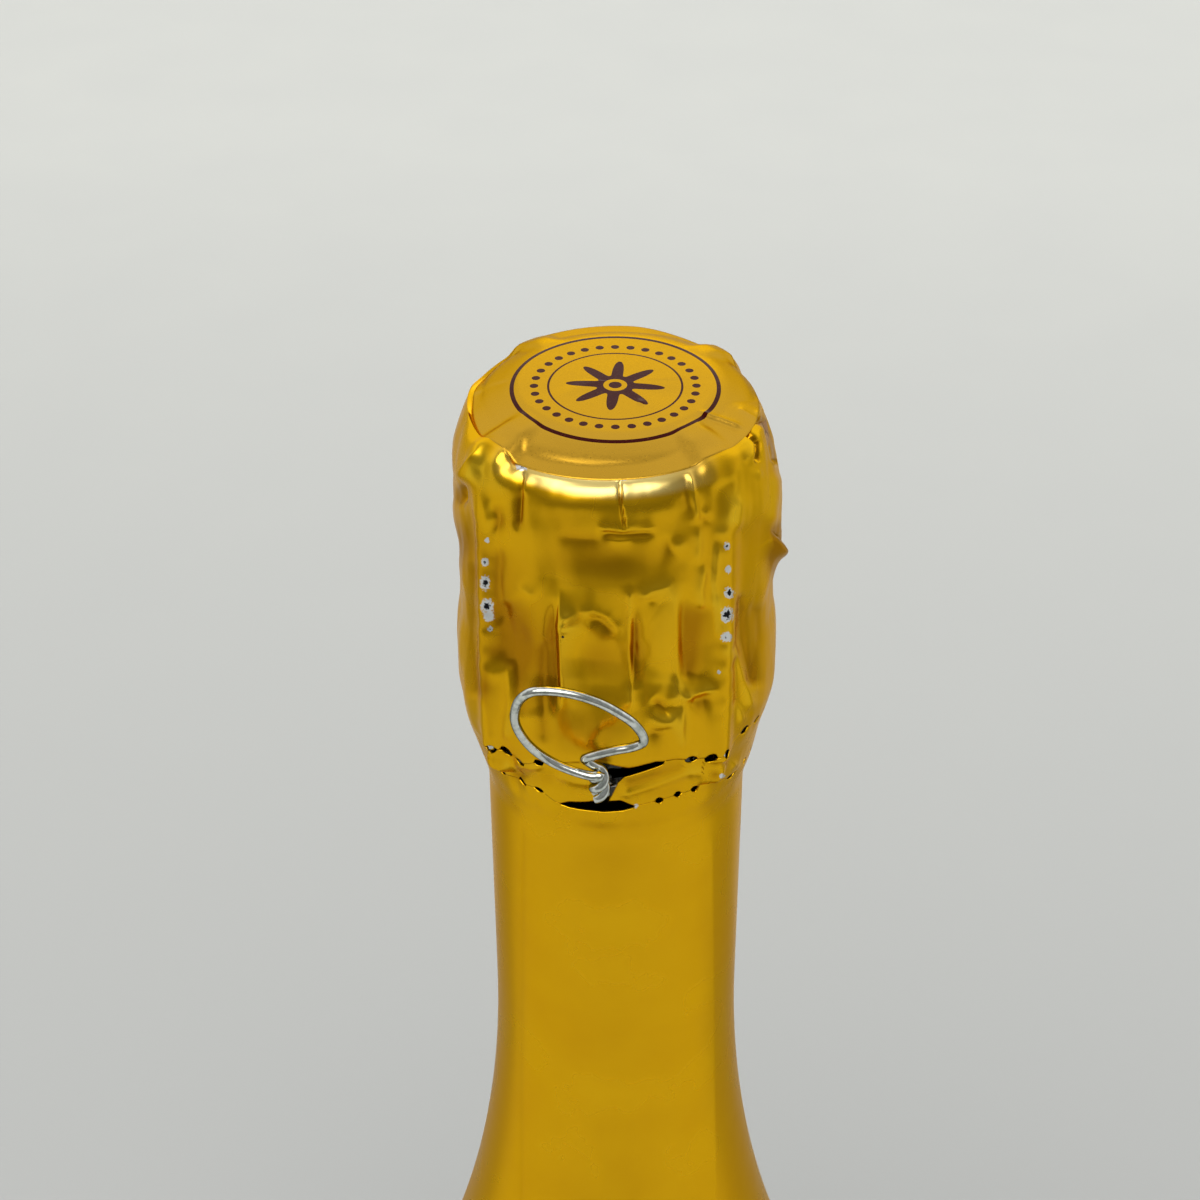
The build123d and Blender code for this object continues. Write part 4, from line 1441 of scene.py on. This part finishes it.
@dataclass
class TearLines:
    """The two perforated lines and the slots between the cap, the tear band and the neck sleeve."""

    shape: FoilShape
    half_gap: float = 0.01
    wall_radius: float = 15.7
    back_upper: tuple = ((-128.0, -38.4), (-95.0, -39.2), (82.0, -37.0), (120.0, -37.6))
    back_lower: tuple = ((-128.0, -43.9), (-95.0, -43.6), (-62.0, -42.6), (66.0, -42.9), (120.0, -43.8))
    end_height: tuple = (-38.0, -43.9)
    hole_reach: tuple = ((68.0, 290.0), (62.0, 318.0))
    hole_step: float = 9.0
    hole_size: tuple = (0.5, 0.42)
    hole_slant: float = 0.3
    least_facing: float = 0.45
    wall_tilt: float = 35.0
    slot_dip: float = 0.35

    def on_wall(self, run: tuple) -> np.ndarray:
        """Angles and heights of places of the photograph, in rising angles."""
        places = [self.shape.camera.on_wall(column, row, self.shape.draped_radius) for column, row in run]
        return np.array(sorted(places))

    def seam(self, holes: tuple, slot: list, back: tuple, end: float) -> tuple:
        """Draws a line through the holes and the slot, closed round the back.

        Args:
            holes: the holes that the photograph shows.
            slot: angles and heights of places on the line in the slot.
            back: angles and heights of the line round the back.
            end: its height in the middle of the back.

        Returns:
            Pairs of angle and height, in rising angles.
        """
        front = [tuple(point) for point in self.on_wall(tuple(hole.place for hole in holes))]
        points = sorted(front + [tuple(point) for point in slot] + list(back))
        return ((-180.0, end), *points, (180.0, end))

    def all_holes(self, holes: tuple, line: tuple, reach: tuple) -> list:
        """Every hole of a line, as angle, height, half width, half height and slant.

        Args:
            holes: the holes that the photograph shows.
            line: the line's angles and heights.
            reach: angle of the first hole round the back and an angle past the last of them.

        Returns:
            One row for each hole.
        """
        camera, rows = self.shape.camera, []
        for hole in holes:
            angle, below = camera.on_wall(*hole.place, self.shape.draped_radius)
            scale = camera.pixel(angle, self.wall_radius, below)[2]
            facing = max(math.cos(math.radians(angle - camera.azimuth)), self.least_facing)
            width = hole.size[0] / scale / facing
            height = hole.size[1] / scale / math.cos(math.radians(self.wall_tilt))
            rows.append((angle, below, width / 2, height / 2, hole.slant))
        for index, angle in enumerate(np.arange(*reach, self.hole_step)):
            place = turned(np.array([angle]))
            slant = self.hole_slant * (-1) ** index
            rows.append((place[0], soft_curve(line, place)[0], *self.hole_size, slant))
        return rows

    def edge(self, line: tuple, holes: list, slot: np.ndarray, side: float, angle: np.ndarray) -> np.ndarray:
        """Height of a foil edge along a tear line, notched by the holes and by the slot.

        Args:
            line: the line's angles and heights.
            holes: its holes.
            slot: angles and heights of the slot's edge on this side.
            side: 1 for the foil above the line and -1 for the foil below it.
            angle: the places to read.

        Returns:
            One height for each place.
        """
        place = turned(angle)
        middle = soft_curve(line, place)
        reach = np.full(place.shape, self.half_gap)
        for at, below, half_width, half_height, slant in holes:
            aside = np.radians(turned(place, at)) * self.wall_radius / half_width
            inside = np.abs(aside) < 1
            notch = np.sqrt(np.maximum(1 - aside**2, 0.0)) * half_height
            notch = notch + side * slant * aside * half_width + side * (below - middle)
            reach = np.where(inside, np.maximum(reach, notch), reach)
        level = np.interp(place, slot[:, 0], slot[:, 1])
        inside = (place > slot[0, 0]) & (place < slot[-1, 0])
        reach = np.where(inside, np.maximum(reach, side * (level - middle)), reach)
        return middle + side * reach

    def edges(self) -> dict:
        """Makes the edge functions of both lines.

        Returns:
            Functions from angles to heights, for the cap's foot, the band's head and foot, and the
            sleeve's head.
        """
        upper_roof, upper_sill = self.on_wall(UPPER_SLOT_ROOF), self.on_wall(UPPER_SLOT_SILL)
        lower_roof, lower_sill = self.on_wall(LOWER_SLOT_ROOF), self.on_wall(LOWER_SLOT_SILL)
        middle = upper_roof[len(upper_roof) // 2] - np.array([0.0, self.slot_dip])
        upper_slot, lower_slot = [upper_roof[0], upper_roof[-1], middle], [lower_roof[0], lower_roof[-1]]
        upper = self.seam(UPPER_HOLES, upper_slot, self.back_upper, self.end_height[0])
        lower = self.seam(LOWER_HOLES, lower_slot, self.back_lower, self.end_height[1])
        upper_holes = self.all_holes(UPPER_HOLES, upper, self.hole_reach[0])
        lower_holes = self.all_holes(LOWER_HOLES, lower, self.hole_reach[1])
        return {
            "cap_foot": partial(self.edge, upper, upper_holes, upper_roof, 1.0),
            "band_head": partial(self.edge, upper, upper_holes, upper_sill, -1.0),
            "band_foot": partial(self.edge, lower, lower_holes, lower_roof, 1.0),
            "sleeve_head": partial(self.edge, lower, lower_holes, lower_sill, -1.0),
        }


@dataclass
class Foil:
    """The crumpled gold foil: a cap over the cork and cage, a tear band, a neck sleeve and a top disc.

    Columns lie close together where the photograph shows the foil and wider apart behind.
    """

    camera: PhotoCamera
    top: float
    gold: bpy.types.Material
    printed: bpy.types.Material
    front_step: float = 0.5
    back_step: float = 1.8
    front_reach: float = 95.0
    cap_rows: int = 134
    shoulder_rows: int = 44
    band_rows: int = 40
    sleeve_rows: int = 110
    sleeve_bottom: float = -128.3
    closer_rows: float = 1.7
    band_width: float = 0.4
    skin: float = 0.14
    inner_rows: int = 18
    lowest_tuck: float = -10.0
    tuck: float = 1.2
    tuck_parts: tuple = (0.3, 0.65, 1.0)
    tuck_drop: float = 2.5
    tuck_gap: float = 0.03
    rim_gap: float = 0.05
    disc_thickness: float = 0.2
    disc_rings: int = 72
    disc_knee: float = 0.66
    disc_bend: float = 0.16
    wave_height: float = 0.03
    wave_rows: float = 14.0
    wave_cells: tuple = (16, 4.0, 5)
    rub_reach: float = 3.0
    core_reach: float = 9.0

    def __post_init__(self) -> None:
        """Works out what the four pieces share."""
        self.shape = FoilShape(self.camera)
        self.tears = TearLines(self.shape)
        self.edges = self.tears.edges()
        start = self.camera.azimuth - self.front_reach
        turn = start + 2 * self.front_reach
        front = np.arange(start, turn, self.front_step)
        back = np.arange(turn, start + FULL_TURN - self.back_step / 2, self.back_step)
        self.angles = np.concatenate([front, back])

    def build(self) -> None:
        """Makes the four foil pieces and fixes them to their bodies."""
        fix(self.cap(), "capsule", "foil_cap")
        fix(self.band(), "bottle", "foil_tear_band")
        fix(self.sleeve(), "bottle", "foil_neck_sleeve")
        fix(self.disc(), "capsule", "foil_top_disc")

    def shell(self, name: str, rows: np.ndarray, closed: bool) -> bpy.types.Object:
        """Builds a thin closed shell from its outer rows.

        Args:
            name: the piece's name.
            rows: outer points as angle, radius and height, from the lowest row to the highest.
            closed: whether the wall goes all round.

        Returns:
            The finished shell.
        """
        count, columns = rows.shape[:2]
        every = max(count // self.inner_rows, 1)
        picks = sorted({*range(0, count, every), count - 1})
        inner = []
        for pick in picks:
            near = rows[max(pick - every, 0) : pick + every + 1, :, 1].min(axis=0)
            row = rows[pick].copy()
            row[:, 1] = np.minimum(near, row[:, 1]) - self.skin
            inner.append(row)
        if rows[-1, 0, 2] > self.lowest_tuck:
            inner[-1][:, 2] -= self.skin
        points = np.concatenate([rows.reshape(-1, 3), np.array(inner).reshape(-1, 3)])
        start = count * columns
        last = start + (len(picks) - 1) * columns
        foot, head = range(columns), range(start - columns, start)
        inner_foot, inner_head = range(start, start + columns), range(last, last + columns)
        faces = wall_faces(count, columns, 0, closed) + wall_faces(len(picks), columns, start, closed, True)
        faces += bridge_faces(inner_foot, foot, closed) + bridge_faces(head, inner_head, closed)
        if not closed:
            faces += self.side_faces(picks, columns, start, 0, False)
            faces += self.side_faces(picks, columns, start, columns - 1, True)
        piece = mesh_object(name, round_points(points, self.top), faces, self.gold)
        self.paint(piece, points)
        return piece

    def side_faces(self, picks: list, columns: int, start: int, column: int, flip: bool) -> list:
        """Faces that close the end of an open shell, one for each inner row.

        Args:
            picks: the outer row that each inner row lies behind.
            columns: points in a row.
            start: number of the first inner point.
            column: the column at the open end.
            flip: whether the faces look the other way.

        Returns:
            Lists of point numbers.
        """
        faces = []
        for index in range(len(picks) - 1):
            outer = [row * columns + column for row in range(picks[index], picks[index + 1] + 1)]
            face = outer + [start + (index + step) * columns + column for step in (1, 0)]
            faces.append(face if flip else face[::-1])
        return faces

    def paint(self, piece: bpy.types.Object, points: np.ndarray) -> None:
        """Writes what the gold finish reads: the way to a rubbed mark, its core, and the creases' height with
        the painted shade marks, which set the painted shade and highlights of the creases.

        Args:
            piece: the shell.
            points: its points as angle, radius and height.
        """
        angle, radius, below = points.T
        column, row, _ = self.camera.pixel(angle, radius, below)
        reach, core = np.full(column.shape, self.core_reach), np.zeros(column.shape)
        for rub in RUBS:
            away = np.hypot((column - rub.place[0]) / rub.size[0] * 2, (row - rub.place[1]) / rub.size[1] * 2)
            core = np.where(away < reach, rub.core, core)
            reach = np.minimum(reach, away)
        front = np.abs(turned(angle, self.camera.azimuth)) < 90
        reach = np.where(front, np.minimum(reach, self.rub_reach), self.rub_reach)
        # The creases' height, with the painted shade marks added, sets the painted shade and highlights of
        # the gold.
        folds = self.shape.creases(WALL_MARKS + PAINTED_SHADE_MARKS, angle, radius, below)
        rubbed = piece.data.attributes.new("rubbed", "FLOAT_VECTOR", "POINT")
        rubbed.data.foreach_set("vector", np.stack([reach, core, folds], -1).astype(np.float32).ravel())

    def closing(self, rows: int) -> np.ndarray:
        """Shares from 0 to 1 as a column, closer together at its end."""
        return 1 - (1 - np.linspace(0, 1, rows)[:, None]) ** self.closer_rows

    def cap(self) -> bpy.types.Object:
        """Makes the cap over the cork and the cage, tucked under the disc.

        Returns:
            The cap.
        """
        shape, angles = self.shape, self.angles
        low, rim = self.edges["cap_foot"](angles)[None], shape.rim_below(angles)[None]
        wall = low + (shape.shoulder - low) * np.linspace(0, 1, self.cap_rows)[:, None]
        share = self.closing(self.shoulder_rows + 1)[1:]
        below = np.concatenate([wall, shape.shoulder + (rim - self.rim_gap - shape.shoulder) * share])
        rows = shape.crumpled(np.broadcast_to(angles, below.shape), below)
        rim_radius = shape.side_radius(angles, rim[0])
        tuck = []
        for part in self.tuck_parts:
            row = rows[-1].copy()
            row[:, 1] = rows[-1, :, 1] - self.tuck * part
            inside = self.disc_height(angles, row[:, 1] / rim_radius) - self.disc_thickness - self.tuck_gap
            row[:, 2] = rows[-1, :, 2] + (inside - rows[-1, :, 2]) * min(part * self.tuck_drop, 1.0)
            tuck.append(row)
        return self.shell("foil_cap_skin", np.concatenate([rows, np.array(tuck)]), True)

    def band(self) -> bpy.types.Object:
        """Makes the tear band between the two perforated lines, open at the slit for the wire's tail.

        Returns:
            The band.
        """
        left, right = self.tears.on_wall(SLIT_LEFT), self.tears.on_wall(SLIT_RIGHT)
        share = np.linspace(0, 1, self.band_rows)[:, None]
        low, high = float(right[:, 1].min()), float(right[:, 1].max())
        level = low + (high - low) * share
        start, stop = (
            np.interp(level, np.sort(side[:, 1]), side[np.argsort(side[:, 1]), 0]) for side in (right, left)
        )
        turn = np.sort((self.angles - start.mean()) % FULL_TURN)
        turn = (turn - turn[0]) / (turn[-1] - turn[0])
        angle = start + (stop + FULL_TURN - start) * turn[None]
        foot, head = self.edges["band_foot"](angle), self.edges["band_head"](angle)
        head = np.maximum(head, foot + self.band_width)
        rows = self.shape.crumpled(angle, foot + (head - foot) * share)
        return self.shell("foil_tear_band_skin", rows, False)

    def sleeve(self) -> bpy.types.Object:
        """Makes the smooth sleeve down the neck.

        Returns:
            The sleeve.
        """
        high = self.edges["sleeve_head"](self.angles)[None]
        below = self.sleeve_bottom + (high - self.sleeve_bottom) * self.closing(self.sleeve_rows)
        rows = self.shape.crumpled(np.broadcast_to(self.angles, below.shape), below)
        return self.shell("foil_neck_sleeve_skin", rows, True)

    def disc_height(self, angle: np.ndarray, share: np.ndarray) -> np.ndarray:
        """Height of the disc's upper face, domed and lying on the plaque and on the wire of the legs.

        Args:
            angle: angles of the points.
            share: their shares of the disc's radius.

        Returns:
            One height for each point.
        """
        past, whole = share - self.disc_knee, 1 - self.disc_knee
        slope = (np.hypot(past, self.disc_bend) + past) / (math.hypot(whole, self.disc_bend) + whole)
        rim = self.shape.rim_below(angle)
        radius = share * self.shape.side_radius(angle, rim)
        over_plaque = np.maximum(rim * slope, soft_curve(self.shape.plaque_cover, radius))
        over_wire = np.maximum(over_plaque, soft_curve(self.shape.wire_cover, radius))
        return over_plaque + (over_wire - over_plaque) * self.shape.leg_cover(angle)

    def disc(self) -> bpy.types.Object:
        """Makes the printed disc on top, domed, creased and lower at the front.

        Returns:
            The disc.
        """
        shape, angles = self.shape, self.angles
        share = (np.arange(1, self.disc_rings + 1) / self.disc_rings)[:, None] * np.ones_like(angles)[None]
        angle = np.broadcast_to(angles, share.shape)
        radius = share * shape.side_radius(angles, shape.rim_below(angles))[None]
        below = self.disc_height(angle, share)
        waves = wrapped_noise(angle, share * self.wave_rows, *self.wave_cells)
        below = below + self.wave_height * share * (1 - share**8) * waves
        below = below + shape.photo_relief(DISC_MARKS, angle, radius, below)
        points = np.stack([angle, radius, below], -1)
        lower = points - np.array([0, 0, self.disc_thickness])
        middle = below[0].mean()
        centre = [[0, 0, middle], [0, 0, middle - self.disc_thickness]]
        flat = np.concatenate([points.reshape(-1, 3), lower.reshape(-1, 3), centre])
        count, columns = below.shape
        size = count * columns
        faces = wall_faces(count, columns, 0, flip=True) + wall_faces(count, columns, size)
        faces += bridge_faces(range(2 * size - columns, 2 * size), range(size - columns, size))
        for column in range(columns):
            after = (column + 1) % columns
            faces.append([2 * size, column, after])
            faces.append([2 * size + 1, size + after, size + column])
        piece = mesh_object("foil_top_disc_skin", round_points(flat, self.top), faces, self.printed)
        self.paint(piece, flat)
        return piece


# Wire


@dataclass
class SoftWire:
    """Soft wire, laid along runs of points by geometry nodes."""

    material: bpy.types.Material
    width: float = 0.95
    sides: int = 16

    def __post_init__(self) -> None:
        """Builds the nodes, with inputs for the wire's radius and its number of sides."""
        tree = self.tree = bpy.data.node_groups.new("wire_along_points", "GeometryNodeTree")
        tree.interface.new_socket("Points", in_out="INPUT", socket_type="NodeSocketGeometry")
        radius = tree.interface.new_socket("Wire Radius", in_out="INPUT", socket_type="NodeSocketFloat")
        sides = tree.interface.new_socket("Sides", in_out="INPUT", socket_type="NodeSocketInt")
        tree.interface.new_socket("Wire", in_out="OUTPUT", socket_type="NodeSocketGeometry")
        radius.default_value = self.width / 2 * METRES
        sides.default_value = self.sides
        add = partial(add_node, tree)
        given = add("NodeGroupInput").outputs
        curve = add("GeometryNodeMeshToCurve", {"Mesh": given["Points"]})
        circle = {"Resolution": given["Sides"], "Radius": given["Wire Radius"]}
        section = add("GeometryNodeCurvePrimitiveCircle", circle)
        tube = add("GeometryNodeCurveToMesh", {"Curve": curve, "Profile Curve": section, "Fill Caps": True})
        smooth = add("GeometryNodeSetShadeSmooth", {"Geometry": tube})
        real = add("GeometryNodeRealizeInstances", {"Geometry": smooth})
        dressed = add("GeometryNodeSetMaterial", {"Geometry": real, "Material": self.material})
        add("NodeGroupOutput", (dressed,))

    def lay(self, name: str, runs: list) -> bpy.types.Object:
        """Lays a wire along runs of points.

        Args:
            name: the piece's name.
            runs: arrays of points in millimetres.

        Returns:
            The wire as a plain mesh.
        """
        mesh = bpy.data.meshes.new(name)
        points, edges = [], []
        for run in runs:
            start = len(points)
            points += (run * METRES).tolist()
            edges += [(start + index, start + index + 1) for index in range(len(run) - 1)]
        mesh.from_pydata(points, edges, [])
        piece = bpy.data.objects.new(name, mesh)
        bpy.context.scene.collection.objects.link(piece)
        piece.modifiers.new("tube", "NODES").node_group = self.tree
        return plain_mesh(piece)


def smooth_path(points: np.ndarray, step: float) -> np.ndarray:
    """A curve through points, sampled evenly enough for a tube.

    Args:
        points: the points to pass through.
        step: distance between samples.

    Returns:
        The sampled curve.
    """
    padded = np.concatenate([[2 * points[0] - points[1]], points, [2 * points[-1] - points[-2]]])
    samples = []
    for index in range(1, len(padded) - 2):
        before, start, end, after = padded[index - 1 : index + 3]
        count = max(int(np.linalg.norm(end - start) / step), 1)
        pairs = ((before, start), (start, end), (end, after))
        t0, t1, t2, t3 = np.cumsum([0.0] + [max(np.linalg.norm(b - a), 1e-6) ** 0.5 for a, b in pairs])
        for part in range(count):
            t = t1 + (t2 - t1) * part / count
            a = (t1 - t) / (t1 - t0) * before + (t - t0) / (t1 - t0) * start
            b = (t2 - t) / (t2 - t1) * start + (t - t1) / (t2 - t1) * end
            c = (t3 - t) / (t3 - t2) * end + (t - t2) / (t3 - t2) * after
            d = (t2 - t) / (t2 - t0) * a + (t - t0) / (t2 - t0) * b
            e = (t3 - t) / (t3 - t1) * b + (t - t1) / (t3 - t1) * c
            samples.append((t2 - t) / (t2 - t1) * d + (t - t1) / (t2 - t1) * e)
    samples.append(points[-1])
    return np.array(samples)


@dataclass
class PullLoop:
    """The pull loop at the front, with its twisted tail and the short stem behind the foil."""

    belt_height: float = 283.375
    stem_reach: tuple = (15.5, 16.6)
    stem_offset: float = 0.46
    pivot: float = 17.0
    lean: float = 72.0
    bend_gap: float = 0.4
    stand_off: float = 0.16
    tail_length: float = 4.4
    tail_radius: float = 0.62
    tail_half_turns: float = 2.3
    tail_phase: float = -60.0
    tail_steps: int = 40
    sample: float = 0.2
    centre_line: tuple = (
        (-0.56, -0.18, -0.55), (-2.98, 0.44, -0.3), (-5.03, 1.55, 0.0), (-6.71, 3.81, 0.0),
        (-7.74, 6.72, 0.0), (-7.89, 9.01, 0.0), (-7.20, 11.78, 0.0), (-5.90, 13.26, 0.0),
        (-4.12, 13.61, 0.0), (-1.80, 13.24, 0.0), (0.50, 12.14, 0.0), (2.20, 10.70, 0.0),
        (3.71, 8.97, 0.0), (4.62, 6.97, 0.0), (4.65, 5.66, 0.0), (3.61, 4.74, 0.0), (2.00, 4.03, 0.0),
        (0.17, 3.01, 0.05), (-1.08, 1.98, 0.2), (-1.35, 1.10, 0.55),
    )

    def build(self, wire: SoftWire) -> None:
        """Makes the loop and the stem and fixes them to their bodies.

        Args:
            wire: the wire that they are made of.
        """
        fix(wire.lay("pull_loop_wire", [self.route()]), "loop", "pull_loop")
        runs = [
            np.array([[side * self.stem_offset, -reach, self.belt_height] for reach in self.stem_reach])
            for side in (-1, 1)
        ]
        fix(wire.lay("twist_stem_wire", runs), "stem", "twist_stem")

    def route(self) -> np.ndarray:
        """The way of the wire up one strand of the tail, round the loop and down the other strand.

        Returns:
            Points in the bottle's frame.
        """
        lean = math.radians(self.lean)
        along = np.array([0, -math.cos(lean), math.sin(lean)])
        across = np.array([1.0, 0, 0])
        back = np.cross(along, across)
        start = np.array([0, -self.pivot - self.stand_off, self.belt_height]) + along * self.bend_gap
        phase, strands = math.pi + math.radians(self.tail_phase), []
        for side in (0.0, math.pi):
            run = []
            for step in range(self.tail_steps + 1):
                share = step / self.tail_steps
                turn = math.pi * self.tail_half_turns * (share - 1) + side + phase
                swing = across * math.cos(turn) + back * math.sin(turn)
                run.append(start + along * self.tail_length * share + swing * self.tail_radius)
            strands.append(np.array(run))
        end = start + along * self.tail_length
        corners = [end + across * u + along * v + back * w for u, v, w in self.centre_line]
        return smooth_path(np.concatenate([strands[1], np.array(corners), strands[0][::-1]]), self.sample)


# Studio


@dataclass
class Studio:
    """A pale floor and soft light, brightest overhead and dimmer where the photographer stands."""

    floor_size: float = 12.0
    box_place: tuple = (-0.1, 2.3, 0.9)
    box_aim: tuple = (0.0, 1.5, 0.0)
    box_size: float = 0.9
    box_power: float = 2.5
    window: str = "#FFFDF8"
    window_strength: float = 2.9
    window_squash: float = 0.62
    window_towards: tuple = (-0.12, -0.66, 0.742)
    window_edge: tuple = (0.865, 0.95)
    back: str = "#F8F8F6"
    front: str = "#888886"
    back_reach: tuple = (-0.35, 0.45)

    def build(self, floor: bpy.types.Material) -> None:
        """Adds the floor, the soft box over its far side and the surroundings.

        Args:
            floor: the floor's finish.
        """
        half = self.floor_size / 2 / METRES
        corners = np.array([[-half, -half, 0], [half, -half, 0], [half, half, 0], [-half, half, 0]])
        mesh_object("floor", corners, [[0, 1, 2, 3]], floor)
        data = bpy.data.lights.new("back_box", "AREA")
        data.size, data.energy = self.box_size, self.box_power
        light = bpy.data.objects.new("back_box", data)
        light.location = self.box_place
        way = Vector(self.box_aim) - Vector(self.box_place)
        light.rotation_euler = way.to_track_quat("-Z", "Y").to_euler()
        bpy.context.scene.collection.objects.link(light)
        self.surroundings()

    def surroundings(self) -> None:
        """Sets the world to a soft room: a bright window high up, pale behind the bottle and dim in front."""
        world = bpy.context.scene.world = bpy.data.worlds.new("studio")
        world.use_nodes = True
        world.node_tree.nodes.clear()
        add = partial(add_node, world.node_tree)
        soft = {"interpolation_type": "SMOOTHSTEP"}
        place = add("ShaderNodeTexCoord").outputs["Generated"]
        depth = add("ShaderNodeSeparateXYZ", (place,)).outputs[1]
        behind = add("ShaderNodeMapRange", (depth, *self.back_reach), **soft)
        squashed = add("ShaderNodeVectorMath", (place, (self.window_squash, 1.0, 1.0)), operation="MULTIPLY")
        squashed = add("ShaderNodeVectorMath", (squashed,), operation="NORMALIZE")
        above = add("ShaderNodeVectorMath", (squashed, self.window_towards), operation="DOT_PRODUCT")
        above = add("ShaderNodeMapRange", (above, *self.window_edge), **soft)
        room = add("ShaderNodeMix", {0: behind, 6: self.front, 7: self.back}, data_type="RGBA")
        colour = add("ShaderNodeMix", {0: above, 6: room, 7: self.window}, data_type="RGBA")
        strength = add("ShaderNodeMapRange", (above, 0.0, 1.0, 1.0, self.window_strength))
        add("ShaderNodeOutputWorld", (add("ShaderNodeBackground", (colour, strength)),))


def main() -> None:
    """Builds the bottle's looks round its frame, piece by piece."""
    logging.basicConfig(level=logging.INFO, format="%(message)s")
    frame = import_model()
    bpy.context.scene.view_settings.view_transform = "Standard"
    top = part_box("foil_top_disc")[1].z / METRES
    camera = PhotoCamera()
    camera.place(top)
    LOG.info("camera placed for a foil top at %.2f mm", top)
    Foil(camera, top, GoldFoil().material(), PrintedDiscFoil().material()).build()
    LOG.info("foil cap, band, sleeve and disc built")
    wire = GalvanisedWire().material()
    PullLoop().build(SoftWire(wire))
    LOG.info("pull loop and stem built")
    finishes = {
        "glass_bottle": BottleGlass().material(),
        "wine": SparklingWine().material(),
        "cork_body": PressedCork("agglomerated_cork", 2.6, "#C79A62", "#9A6B3C").material(),
        "cork_disc_upper": PressedCork("natural_cork", 4.5, "#D2A870", "#B78A55").material(),
        "cork_disc_lower": PressedCork("natural_cork_end", 4.5, "#CFA46C", "#B08250").material(),
        "cage_plaque": LacqueredTinplate().material(),
        "cage_frame": wire,
        "cage_belt": wire,
    }
    for node, material in finishes.items():
        piece = frame["nodes"][node]
        piece.data.materials.clear()
        piece.data.materials.append(material)
        LOG.info("%s dressed in %s", node, material.name)
    Studio().build(PaleFloor().material())


if __name__ == "__main__":
    main()
